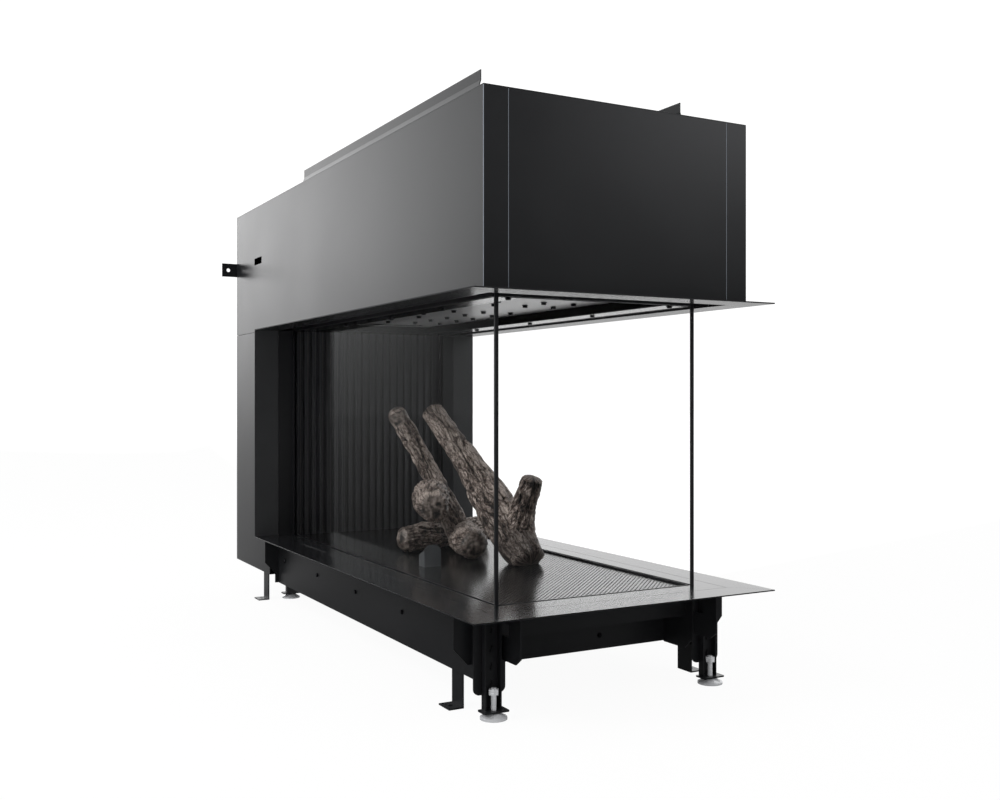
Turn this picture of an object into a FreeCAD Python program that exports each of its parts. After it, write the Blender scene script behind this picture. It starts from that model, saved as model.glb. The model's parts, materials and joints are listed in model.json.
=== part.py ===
"""Three-sided gas fireplace: a glazed firebox under a sheet-steel hood, with a rear column and adjustable legs.

The long axis is Y, the glazed end faces -Y, +Z is up and the floor is z = 0. Lengths are millimetres.
"""
import FreeCAD, Part
import math
import operator
import os
from types import SimpleNamespace

import Sketcher
from FreeCAD import Placement, Rotation, Vector

SIZES = {
    # Outer casing
    "hood_width": 600, "body_length": 1604, "hood_height": 360, "casing_sheet": 2, "panel_seam": 1.2,
    "corner_width": 50, "fold_return": 25, "column_depth": 332, "column_base": 90,
    "grip_slot_length": 71, "grip_slot_height": 19, "grip_slot_from_rear": 190, "grip_slot_level": 965,
    # Trim frame round the glazing
    "hearth_height": 197, "opening_height": 572, "trim_overhang": 40, "trim_plate": 2.5, "trim_strip": 67,
    "rail_seam": 0.8, "head_recess": 15,
    # Glazing
    "glass_inset": 70, "glass_setback": 82, "glass_thickness": 5, "seal_gap": 1, "channel_wall": 1.5,
    "post_width": 6.5, "post_seal": 1.3, "sill_depth": 14.5, "head_cover": 20,
    "glass_lift": 16, "head_spare": 2, "jamb_depth": 14,
    # Firebox lining
    "deck_drop": 4, "deck_plate": 2, "lining_gap": 0.5, "flute_count": 20, "flute_depth": 8.5, "flute_base": 16,
    "flute_crest": 9, "wall_sheet": 2, "wall_setback": 9, "rim_width": 53,
    "rim_front_width": 8, "rim_sheet": 2, "recess_height": 21,
    "slot_columns": 6, "slot_rows": 42, "slot_width": 5, "slot_border": 18, "slot_bridge": 16,
    # Burner and gas train
    "burner_margin": 52, "burner_height": 51, "burner_front_gap": 130, "burner_rear_gap": 190,
    "pipe_radius": 8, "pipe_wall": 1.2, "pipe_level": 160, "hole_clearance": 0.3,
    "valve_width": 84, "valve_depth": 62, "valve_height": 56, "inlet_length": 30,
    "pilot_width": 42, "pilot_height": 50, "pilot_depth": 30, "pilot_sheet": 1.5, "pilot_x": -124, "pilot_y": -205,
    # Flue
    "flue_y": -140, "flue_radius": 65, "air_radius": 100, "duct_wall": 1, "spigot_height": 60, "collar_flange": 26,
    "flue_box_margin": 19, "flue_box_height": 90, "flue_slot_margin": 49, "flue_slot_depth": 50,
    # Lifting rails and relief hatches on the roof
    "roof_rail_inset": 63, "roof_rail_start": 130, "roof_rail_length": 1026, "roof_rail_height": 68,
    "roof_rail_lip": 20, "roof_rail_lean": 16, "roof_rail_foot": 30,
    "hatch_width": 250, "hatch_length": 180, "hatch_lap": 15, "hatch_front_y": -430, "hatch_rear_y": 150,
    "knuckle_radius": 5, "pin_radius": 2.5, "pin_clearance": 0.05, "knuckle_length": 150, "lug_width": 8,
    # Base
    "skirt_inset": 24, "skirt_base": 67, "skirt_lip": 30, "base_sheet": 2, "bulkhead_plate": 3,
    "gusset_reach": 38, "gusset_low": 124, "gusset_toe": 93, "gusset_toe_reach": 9, "gusset_setback": 89,
    "pan_setback": 163, "rail_drop": 57, "rail_lip": 70, "foot_gap": 0.3,
    # Legs and levelling feet
    "leg_inset": 49, "rear_leg_inset": 97, "leg_width": 34, "leg_depth": 15, "leg_sheet": 2.5, "leg_travel": 60,
    "keyhole_radius": 4.5, "keyhole_tail": 10, "keyhole_top": 161, "keyhole_pitch": 33,
    "bracket_half_width": 33, "bracket_base": 41, "bracket_round": 12, "bracket_reach": 92,
    "fin_offset": 25.5, "fin_base": 101, "fin_chamfer": 18, "fin_chamfer_rise": 13, "fin_window_gap": 1.5,
    "fin_window_width": 26, "fin_window_height": 23, "fin_window_base": 146,
    "foot_plate_width": 51, "foot_plate_depth": 30, "foot_plate": 3, "foot_plate_level": 13,
    "stud_radius": 5, "stud_top": 56, "stud_clearance": 0.06, "disc_radius": 25, "disc_rim": 4, "boss_radius": 9,
    "nut_low": 44, "nut_high": 54, "nut_flats": 17,
    # Fixing brackets
    "floor_tab": 28, "floor_bracket_width": 45, "floor_bracket_plate": 3, "floor_bracket_inset": 28,
    "floor_bracket_top": 40, "floor_front_setback": 158, "floor_rear_setback": 212, "floor_hole_radius": 4.5,
    "wall_tab": 45, "wall_bracket_height": 40, "wall_bracket_lap": 60, "wall_bracket_plate": 3,
    "wall_bracket_level": 970, "wall_hole_reach": 26, "wall_hole_radius": 5.5,
    # Ceramic logs, each with the place of its first end
    "branch_x": 83, "branch_y": -285, "branch_rise": 12, "branch_length": 492, "branch_butt": 38, "branch_knot": 43,
    "branch_tip": 28, "stub_x": 83, "stub_y": -272, "stub_rise": 69, "stub_radius": 24, "stub_length": 124,
    "leaner_x": -80, "leaner_y": 101.5, "leaner_top": 332, "leaner_length": 340, "leaner_butt": 32, "leaner_tip": 28,
    "crown_x": -66, "crown_y": -78, "crown_rise": 129, "crown_radius": 48, "crown_length": 190,
    "front_log_x": 0, "front_log_y": -138, "front_log_radius": 40, "front_log_length": 130,
    "cross_log_x": -85, "cross_log_y": 28, "cross_log_radius": 36, "cross_log_length": 250, "log_sway": 5,
}
OPERATIONS = {"+": operator.add, "-": operator.sub, "*": operator.mul, "/": operator.truediv}
SIDES = {"left": -1, "right": 1}
LOG_FACETS = 14


class Dim:
    """A size that carries its number and the sheet expression that drives it."""

    def __init__(self, value, text):
        self.value = value
        self.text = text

    def joined(self, sign, other, swapped=False):
        """Combines two sizes with an arithmetic sign."""
        other = other if isinstance(other, Dim) else Dim(other, repr(other))
        first, second = (other, self) if swapped else (self, other)
        value = OPERATIONS[sign](first.value, second.value)
        return Dim(value, f"({first.text} {sign} {second.text})")

    def __add__(self, other):
        return self.joined("+", other)

    def __radd__(self, other):
        return self.joined("+", other, True)

    def __sub__(self, other):
        return self.joined("-", other)

    def __rsub__(self, other):
        return self.joined("-", other, True)

    def __mul__(self, other):
        return self.joined("*", other)

    def __rmul__(self, other):
        return self.joined("*", other, True)

    def __truediv__(self, other):
        return self.joined("/", other)

    def __neg__(self):
        return self.joined("*", -1)


def write_sheet(document):
    """Fills the spreadsheet with one aliased row for each driving size."""
    sheet = document.addObject("Spreadsheet::Sheet", "Sizes")
    for row, (alias, value) in enumerate(SIZES.items(), 1):
        sheet.set(f"A{row}", alias)
        sheet.set(f"B{row}", str(value))
        sheet.setAlias(f"B{row}", alias)
    document.recompute()
    return SimpleNamespace(**{alias: Dim(float(value), f"Sizes.{alias}") for alias, value in SIZES.items()})


doc = FreeCAD.newDocument("fireplace")
s = write_sheet(doc)
ZERO = s.casing_sheet * 0
NODES = []

# Levels and planes that several pieces share
half_hood = s.hood_width / 2
half_trim = half_hood + s.trim_overhang
trim_front = -(s.trim_overhang + s.body_length + s.wall_bracket_plate) / 2
hood_front = trim_front + s.trim_overhang
body_rear = hood_front + s.body_length
column_front = body_rear - s.column_depth
column_back_face = body_rear - s.casing_sheet
trim_base = s.hearth_height - s.trim_plate
canopy = s.hearth_height + s.opening_height
hood_base = canopy + s.trim_plate
roof_under = hood_base + s.hood_height - s.casing_sheet
roof = hood_base + s.hood_height
pane_side = half_hood - s.glass_inset
pane_front = hood_front + s.glass_setback
channel_out = pane_side + s.seal_gap + s.channel_wall
channel_in = pane_side - s.glass_thickness - s.seal_gap - s.channel_wall
channel_width = channel_out - channel_in
front_channel_out = pane_front - s.seal_gap - s.channel_wall
front_channel_in = front_channel_out + channel_width
sill_base = s.hearth_height - s.sill_depth - s.channel_wall
head_top = canopy + s.head_cover + s.glass_lift + s.head_spare + s.channel_wall
deck_top = s.hearth_height - s.deck_drop
deck_under = deck_top - s.deck_plate
strip_in = half_trim - s.trim_strip
rail_out = strip_in - s.rail_seam
strip_front_in = trim_front + s.trim_strip
trim_rear = column_front + s.trim_plate
flute_front = column_front + s.wall_setback
wall_front = flute_front + s.flute_depth
wall_rear = wall_front + s.wall_sheet
lining_half = channel_in - s.lining_gap
lining_front = front_channel_in + s.lining_gap
skirt_out = half_hood - s.skirt_inset
skirt_in = skirt_out - s.base_sheet
pan_front = hood_front + s.pan_setback
bracket_back = pan_front - s.bracket_reach
bracket_face = bracket_back - s.bulkhead_plate
leg_y = bracket_face - s.foot_gap - s.leg_depth
pan_rear = column_front - 11
bulkhead_rear = pan_rear + s.bulkhead_plate
rear_leg_y = bulkhead_rear + s.bracket_reach + s.bulkhead_plate + s.foot_gap + s.leg_depth
rim_top = canopy + s.rim_sheet
baffle_top = canopy + s.recess_height + s.rim_sheet
box_top = baffle_top + s.flue_box_height
leg_x = half_hood - s.leg_inset
rear_leg_x = half_hood - s.rear_leg_inset


def bind(item, prop, size):
    """Ties a property to the sheet."""
    item.setExpression(prop, size.text)


def new_body(label, listed=True):
    """Starts a PartDesign body, and lists it for export unless it is only part of a group."""
    body = doc.addObject("PartDesign::Body", label)
    if listed:
        NODES.append(body)
    return body


def sketch_on(body, plane, level):
    """Opens a sketch on one of the body's own planes, moved along the plane's axis to a level."""
    sketch = body.newObject("Sketcher::SketchObject", f"{body.Label}_sketch")
    base = next(item for item in body.Origin.OriginFeatures if item.Role == f"{plane}_Plane")
    sketch.AttachmentSupport = (base, "")
    sketch.MapMode = "FlatFace"
    bind(sketch, "AttachmentOffset.Base.z", -level if plane == "XZ" else level)
    return sketch


def pin_point(sketch, geometry, position, point):
    """Ties a point of the sketch to two signed distances from the sketch's origin."""
    for kind, size in zip(("DistanceX", "DistanceY"), point):
        index = sketch.addConstraint(Sketcher.Constraint(kind, -1, 1, geometry, position, size.value))
        bind(sketch, f"Constraints[{index}]", size)


def draw_outline(sketch, corners):
    """Draws a closed outline of straight lines through the corners."""
    first = sketch.GeometryCount
    points = [Vector(across.value, along.value, 0) for across, along in corners]
    count = len(points)
    sketch.addGeometry([Part.LineSegment(points[i], points[(i + 1) % count]) for i in range(count)], False)
    sketch.addConstraint([
        Sketcher.Constraint("Coincident", first + i, 2, first + (i + 1) % count, 1) for i in range(count)
    ])
    for i, corner in enumerate(corners):
        pin_point(sketch, first + i, 1, corner)


def draw_circle(sketch, centre, radius):
    """Draws a circle about a bound centre."""
    middle = Vector(centre[0].value, centre[1].value, 0)
    circle = sketch.addGeometry(Part.Circle(middle, Vector(0, 0, 1), radius.value), False)
    pin_point(sketch, circle, 3, centre)
    index = sketch.addConstraint(Sketcher.Constraint("Radius", circle, radius.value))
    bind(sketch, f"Constraints[{index}]", radius)


def extrude(body, plane, level, thickness, outlines, circles=(), kind="Pad"):
    """Pads or pockets outlines and circles from a level, towards the positive axis of the plane."""
    sketch = sketch_on(body, plane, level)
    for corners in outlines:
        draw_outline(sketch, corners)
    for centre, radius in circles:
        draw_circle(sketch, centre, radius)
    feature = body.newObject(f"PartDesign::{kind}", f"{body.Label}_{kind.lower()}")
    feature.Profile = sketch
    bind(feature, "Length", thickness)
    feature.Reversed = (plane == "XZ") == (kind == "Pad")
    return feature


def box_outline(low, high):
    """Gives the four corners of a rectangle."""
    return [(low[0], low[1]), (high[0], low[1]), (high[0], high[1]), (low[0], high[1])]


def mirrored(corners, side):
    """Turns an outline drawn for the right-hand side to the side asked for."""
    return [(across * side, along) for across, along in corners]


def prism(label, plane, level, thickness, outlines, circles=(), listed=True):
    """Makes a piece of one extruded outline with its holes."""
    body = new_body(label, listed)
    extrude(body, plane, level, thickness, outlines, circles)
    return body


def round_edges(body, radius, chosen):
    """Fillets the edges whose middle passes the test."""
    doc.recompute()
    tip = body.Tip
    names = [f"Edge{i}" for i, edge in enumerate(tip.Shape.Edges, 1) if chosen(edge)]
    fillet = body.newObject("PartDesign::Fillet", f"{body.Label}_round")
    fillet.Base = (tip, names)
    bind(fillet, "Radius", radius)


def group(label, pieces):
    """Joins like pieces, each still a solid of its own, in one node."""
    node = doc.addObject("Part::Compound", label)
    node.Links = pieces
    NODES.append(node)


def place(item, across, along, turn=0):
    """Sets a piece on its bound place on the floor plan, turned about the upright axis."""
    item.Placement = Placement(Vector(across.value, along.value, 0), Rotation(Vector(0, 0, 1), turn))
    bind(item, "Placement.Base.x", across)
    bind(item, "Placement.Base.y", along)


def make_hood():
    """Makes the hood's sides, folded front panel, corner posts, back and roof."""
    front_in = hood_front + s.casing_sheet
    slot_rear = body_rear - s.grip_slot_from_rear
    slot = box_outline((slot_rear - s.grip_slot_length, s.grip_slot_level),
                       (slot_rear, s.grip_slot_level + s.grip_slot_height))
    for name, side in SIDES.items():
        inner = half_hood - s.casing_sheet if side > 0 else -half_hood
        prism(f"hood_side_{name}", "YZ", inner, s.casing_sheet,
              [box_outline((front_in, hood_base), (column_back_face, roof_under)), slot])
    height = roof_under - hood_base
    seam = half_hood - s.corner_width
    panel = seam - s.panel_seam
    returned = hood_front + s.fold_return
    prism("hood_front_panel", "XY", hood_base, height, [[
        (-panel, hood_front), (panel, hood_front), (panel, returned), (panel - s.casing_sheet, returned),
        (panel - s.casing_sheet, front_in), (-panel + s.casing_sheet, front_in),
        (-panel + s.casing_sheet, returned), (-panel, returned)]])
    corner = [(half_hood, hood_front), (half_hood, front_in), (seam + s.casing_sheet, front_in),
              (seam + s.casing_sheet, returned), (seam, returned), (seam, hood_front)]
    group("hood_corners", [
        prism(f"hood_corner_{name}", "XY", hood_base, height, [mirrored(corner, side)], listed=False)
        for name, side in SIDES.items()])
    prism("hood_back", "XZ", column_back_face, s.casing_sheet,
          [box_outline((-half_hood, hood_base), (half_hood, roof_under))])


def make_roof():
    """Makes the roof plate with its hatch openings and hinges, the hatches and the lifting rails."""
    body = new_body("hood_roof")
    hatches = {"front": s.hatch_front_y, "rear": s.hatch_rear_y}
    open_half = s.hatch_width / 2 - s.hatch_lap
    open_long = s.hatch_length / 2 - s.hatch_lap
    extrude(body, "XY", roof_under, s.casing_sheet,
            [box_outline((-half_hood, hood_front), (half_hood, body_rear))]
            + [box_outline((-open_half, y - open_long), (open_half, y + open_long)) for y in hatches.values()],
            [((ZERO, s.flue_y), s.air_radius - s.duct_wall)])
    hinge_level = roof + s.foot_gap + s.knuckle_radius
    lug_in = s.knuckle_length / 2 + s.foot_gap
    lug_half = s.knuckle_radius * 0.8
    for name, y in hatches.items():
        hinge_y = y + s.hatch_length / 2 + s.knuckle_radius * 1.4
        for low in (lug_in, -lug_in - s.lug_width):
            extrude(body, "YZ", low, s.lug_width, [box_outline(
                (hinge_y - lug_half, roof), (hinge_y + lug_half, hinge_level + s.knuckle_radius))])
        extrude(body, "YZ", -lug_in, lug_in * 2, [], [((hinge_y, hinge_level), s.pin_radius)])
        make_hatch(name, y, hinge_y, hinge_level)
    make_roof_rails()


def make_hatch(name, middle, hinge_y, hinge_level):
    """Makes one relief hatch: a lid that lies on the roof, with a rolled knuckle round the hinge pin."""
    body = new_body(f"hatch_{name}")
    lid_base = roof + s.foot_gap
    extrude(body, "XY", lid_base, s.casing_sheet, [box_outline(
        (-s.hatch_width / 2, middle - s.hatch_length / 2), (s.hatch_width / 2, middle + s.hatch_length / 2))])
    extrude(body, "YZ", -s.knuckle_length / 2, s.knuckle_length, [],
            [((hinge_y, hinge_level), s.knuckle_radius)])
    extrude(body, "XY", lid_base, s.casing_sheet, [box_outline(
        (-s.knuckle_length / 2, middle), (s.knuckle_length / 2, hinge_y))])
    bore = extrude(body, "YZ", -s.knuckle_length / 2, s.knuckle_length, [],
                   [((hinge_y, hinge_level), s.pin_radius + s.pin_clearance)], "Pocket")
    bore.Reversed = True


def make_roof_rails():
    """Makes the two bent rails on the roof: a foot, a leaning web and an upright lip."""
    lip = half_hood - s.roof_rail_inset
    heel = lip + s.roof_rail_lean
    bend = roof + s.roof_rail_height - s.roof_rail_lip
    sheet = s.casing_sheet
    profile = [(lip, roof + s.roof_rail_height), (lip, bend), (heel, roof), (heel - s.roof_rail_foot, roof),
               (heel - s.roof_rail_foot, roof + sheet), (heel - sheet * 1.6, roof + sheet), (lip - sheet, bend),
               (lip - sheet, roof + s.roof_rail_height)]
    group("roof_rails", [
        prism(f"roof_rail_{name}", "XZ", hood_front + s.roof_rail_start, s.roof_rail_length,
              [mirrored(profile, side)], listed=False) for name, side in SIDES.items()])


def make_column():
    """Makes the column's sides, back, floor and bulkhead, and the trim beside its glazing."""
    top = hood_base - s.panel_seam
    side_panel = [(bulkhead_rear, s.column_base), (column_back_face, s.column_base), (column_back_face, top),
                  (trim_rear, top), (trim_rear, trim_base), (bulkhead_rear, trim_base)]
    rail_return = [(rail_out, column_front), (rail_out, trim_rear), (channel_out + s.trim_plate, trim_rear),
                   (channel_out + s.trim_plate, wall_rear), (channel_out, wall_rear), (channel_out, column_front)]
    rails = []
    trims = []
    for name, side in SIDES.items():
        inner = half_hood - s.casing_sheet if side > 0 else -half_hood
        prism(f"column_side_{name}", "YZ", inner, s.casing_sheet, [side_panel])
        trims.append(prism(f"column_trim_{name}", "XY", s.hearth_height, s.opening_height, [
            mirrored(box_outline((strip_in, column_front), (half_trim, trim_rear)), side)], listed=False))
        rails.append(prism(f"column_rail_{name}", "XY", s.hearth_height, s.opening_height,
                           [mirrored(rail_return, side)], listed=False))
    group("column_trims", trims)
    group("column_rails", rails)
    prism("column_back", "XZ", column_back_face, s.casing_sheet,
          [box_outline((-half_hood, s.column_base), (half_hood, top))])
    inside = half_hood - s.casing_sheet
    notch = rear_leg_x + s.bracket_half_width + s.skirt_lip / 6
    notch_rear = rear_leg_y + s.foot_plate_depth
    prism("column_floor", "XY", s.column_base, s.casing_sheet, [[
        (-inside, bulkhead_rear), (-notch, bulkhead_rear), (-notch, notch_rear), (notch, notch_rear),
        (notch, bulkhead_rear), (inside, bulkhead_rear), (inside, column_back_face),
        (-inside, column_back_face)]])


def make_trims():
    """Makes the mitred trim plates round the opening and the rails that hold the panes at the hearth."""
    for name, side in SIDES.items():
        prism(f"base_trim_{name}", "XY", trim_base, s.trim_plate, [mirrored([
            (half_trim, trim_front), (half_trim, trim_rear), (strip_in, trim_rear), (strip_in, strip_front_in)],
            side)])
    prism("base_trim_front", "XY", trim_base, s.trim_plate, [[
        (-half_trim, trim_front), (half_trim, trim_front), (strip_in, strip_front_in),
        (-strip_in, strip_front_in)]])
    rail_front = strip_front_in + s.rail_seam
    rails = [prism(f"hearth_rail_{name}", "XY", trim_base, s.trim_plate, [mirrored([
        (rail_out, rail_front), (rail_out, column_front), (channel_out, column_front),
        (channel_out, front_channel_out)], side)], listed=False) for name, side in SIDES.items()]
    rails.append(prism("hearth_rail_front", "XY", trim_base, s.trim_plate, [[
        (-rail_out, rail_front), (rail_out, rail_front), (channel_out, front_channel_out),
        (-channel_out, front_channel_out)]], listed=False))
    group("hearth_rails", rails)
    tops = [prism(f"top_trim_{name}", "XY", canopy, s.trim_plate, [mirrored([
        (half_trim, trim_front), (half_trim, trim_rear), (strip_in, trim_rear), (strip_in, strip_front_in)], side)],
        listed=False) for name, side in SIDES.items()]
    tops.append(prism("top_trim_front", "XY", canopy, s.trim_plate, [[
        (-half_trim, trim_front), (half_trim, trim_front), (strip_in, strip_front_in),
        (-strip_in, strip_front_in)]], listed=False))
    group("top_trims", tops)
    make_head_rails()


def make_head_rails():
    """Makes the folded rails that form a dark recess between the top trim and the panes."""
    low = canopy + s.head_recess
    high = low + s.casing_sheet
    sheet = s.casing_sheet
    section = [(strip_in, canopy), (strip_in, high), (channel_out, high), (channel_out, low),
               (strip_in - sheet, low), (strip_in - sheet, canopy)]
    rails = [prism(f"head_rail_{name}", "XZ", front_channel_out, trim_rear - front_channel_out,
                   [mirrored(section, side)], listed=False) for name, side in SIDES.items()]
    front = [(strip_front_in, canopy), (strip_front_in, high), (front_channel_out, high), (front_channel_out, low),
             (strip_front_in + sheet, low), (strip_front_in + sheet, canopy)]
    rails.append(prism("head_rail_front", "YZ", -strip_in, strip_in * 2, [front], listed=False))
    group("head_rails", rails)


def channel_profile(out, width, closed_level, open_level):
    """Draws a channel round a pane: a web at the closed level and two walls up or down to the open one."""
    wall = s.channel_wall if closed_level.value < open_level.value else -s.channel_wall
    inner = out + s.channel_wall
    far = out + width
    return [(out, open_level), (out, closed_level), (far, closed_level), (far, open_level),
            (far - s.channel_wall, open_level), (far - s.channel_wall, closed_level + wall),
            (inner, closed_level + wall), (inner, open_level)]


def make_glazing():
    """Makes the sill, head and jamb channels, the corner posts and the three panes."""
    run = column_front - front_channel_in
    levels = {"sill": (sill_base, s.hearth_height), "head": (head_top, canopy)}
    for kind, (closed, opened) in levels.items():
        sides = [prism(f"{kind}_channel_{name}", "XZ", front_channel_in, run, [mirrored(
            channel_profile(channel_in, channel_width, closed, opened), side)], listed=False)
            for name, side in SIDES.items()]
        front = prism(f"{kind}_channel_front", "YZ", -channel_in, channel_in * 2,
                      [channel_profile(front_channel_out, channel_width, closed, opened)], listed=False)
        group(f"{kind}_channels", sides + [front])
    jamb_out = column_front - s.jamb_depth
    wall = s.channel_wall
    jamb = [(channel_in, jamb_out), (channel_in + wall, jamb_out), (channel_in + wall, column_front - wall),
            (channel_out - wall, column_front - wall), (channel_out - wall, jamb_out), (channel_out, jamb_out),
            (channel_out, column_front), (channel_in, column_front)]
    group("jamb_channels", [
        prism(f"jamb_channel_{name}", "XY", s.hearth_height, s.opening_height, [mirrored(jamb, side)], listed=False)
        for name, side in SIDES.items()])
    post_in = channel_out - s.post_width
    post_back = front_channel_out + s.post_width
    post = [(post_in, front_channel_out), (channel_out - wall, front_channel_out),
            (channel_out, front_channel_out + wall), (channel_out, post_back), (post_in, post_back)]
    group("glass_posts", [
        prism(f"glass_post_{name}", "XY", sill_base, head_top - sill_base, [mirrored(post, side)], listed=False)
        for name, side in SIDES.items()])
    low = sill_base + s.channel_wall + s.foot_gap
    tall = canopy + s.head_cover - low
    rear_edge = column_front - s.channel_wall - s.foot_gap
    front_edge = post_back + s.post_seal
    make_pane("glass_left", (-pane_side, front_edge, low), (s.glass_thickness, rear_edge - front_edge, tall))
    make_pane("glass_right", (pane_side - s.glass_thickness, front_edge, low),
              (s.glass_thickness, rear_edge - front_edge, tall))
    half_front = post_in - s.post_seal
    make_pane("glass_front", (-half_front, pane_front, low), (half_front * 2, s.glass_thickness, tall))


def make_pane(label, corner, extent):
    """Makes one pane of glass from its low corner and its extent."""
    pane = doc.addObject("Part::Box", label)
    for axis, size in zip("xyz", corner):
        bind(pane, f"Placement.Base.{axis}", size)
    for prop, size in zip(("Length", "Width", "Height"), extent):
        bind(pane, prop, size)
    NODES.append(pane)


def make_ceiling():
    """Makes the ceiling rim, the raised baffle with its flue slot, and the flue's box, spigot and air collar."""
    rim_half = lining_half - s.rim_width
    rim_front = lining_front + s.rim_front_width
    rim_rear = flute_front - s.rim_width
    prism("ceiling_rim", "XY", canopy, s.rim_sheet, [
        box_outline((-lining_half, lining_front), (lining_half, wall_rear)),
        box_outline((-rim_half, rim_front), (rim_half, rim_rear))])
    sheet = s.rim_sheet
    baffle = new_body("ceiling_baffle")
    low = (-rim_half - sheet, rim_front - sheet)
    high = (rim_half + sheet, rim_rear + sheet)
    extrude(baffle, "XY", rim_top, baffle_top - rim_top, [
        box_outline(low, high), box_outline((-rim_half, rim_front), (rim_half, rim_rear))])
    slot_rear = rim_rear - s.flue_slot_depth / 2
    slot_half = rim_half - s.flue_slot_margin
    extrude(baffle, "XY", baffle_top - sheet, sheet, [
        box_outline(low, high), box_outline((-slot_half, slot_rear - s.flue_slot_depth), (slot_half, slot_rear))])
    box = new_body("flue_box")
    half = rim_half - s.flue_box_margin
    box_front = s.flue_y - half
    extrude(box, "XY", baffle_top, s.flue_box_height, [
        box_outline((-half, box_front), (half, rim_rear)),
        box_outline((-half + sheet, box_front + sheet), (half - sheet, rim_rear - sheet))])
    bore = s.flue_radius - s.duct_wall
    extrude(box, "XY", box_top - sheet, sheet, [box_outline((-half, box_front), (half, rim_rear))],
            [((ZERO, s.flue_y), bore)])
    top = roof + s.spigot_height
    prism("flue_spigot", "XY", box_top, top - box_top, [],
          [((ZERO, s.flue_y), s.flue_radius), ((ZERO, s.flue_y), bore)])
    collar = new_body("air_collar")
    air_bore = s.air_radius - s.duct_wall
    extrude(collar, "XY", roof, s.duct_wall, [],
            [((ZERO, s.flue_y), s.air_radius + s.collar_flange), ((ZERO, s.flue_y), air_bore)])
    extrude(collar, "XY", roof, s.spigot_height, [],
            [((ZERO, s.flue_y), s.air_radius), ((ZERO, s.flue_y), air_bore)])


def make_back_wall():
    """Makes the fluted back wall: a flat sheet with a row of upright flutes."""
    body = new_body("back_wall")
    height = canopy - deck_top
    extrude(body, "XY", deck_top, height, [box_outline((-channel_out, wall_front), (channel_out, wall_rear))])
    pitch = lining_half * 2 / s.flute_count
    first = -lining_half + pitch / 2
    base = s.flute_base / 2
    crest = s.flute_crest / 2
    flute = extrude(body, "XY", deck_top, height, [[
        (first - base, wall_front), (first - crest, flute_front), (first + crest, flute_front),
        (first + base, wall_front)]])
    row = body.newObject("PartDesign::LinearPattern", "flute_row")
    row.Originals = [flute]
    row.Direction = (next(item for item in body.Origin.OriginFeatures if item.Role == "X_Axis"), [""])
    bind(row, "Length", pitch * (s.flute_count - 1))
    bind(row, "Occurrences", s.flute_count)
    body.Tip = row


def make_deck():
    """Makes the burner deck, a plate pierced by columns of slots that all run at 45 degrees."""
    half = lining_half.value
    front = lining_front.value
    rear = wall_rear.value
    border = s.slot_border.value
    columns = int(s.slot_columns.value)
    rows = int(s.slot_rows.value)
    column = (2 * half - 2 * border) / columns
    reach = column - s.slot_bridge.value
    used_front = front + border
    used = flute_front.value - border - used_front - reach - s.slot_width.value * math.sqrt(2)
    pitch = used / (rows - 1)
    rise = s.slot_width.value * math.sqrt(2)
    openings = []
    for i in range(columns):
        x = -half + border + i * column + s.slot_bridge.value / 2
        for j in range(rows):
            y = used_front + j * pitch
            corners = [(x, y), (x + reach, y + reach), (x + reach, y + reach + rise), (x, y + rise), (x, y)]
            openings.append(Part.makePolygon([Vector(a, b, 0) for a, b in corners]))
    edge = Part.makePolygon([Vector(-half, front, 0), Vector(half, front, 0), Vector(half, rear, 0),
                             Vector(-half, rear, 0), Vector(-half, front, 0)])
    face = Part.makeFace([edge] + openings, "Part::FaceMakerBullseye")
    deck = doc.addObject("Part::Feature", "burner_deck")
    deck.Shape = face.extrude(Vector(0, 0, s.deck_plate.value))
    deck.Placement = Placement(Vector(0, 0, deck_under.value), Rotation())
    NODES.append(deck)


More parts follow.
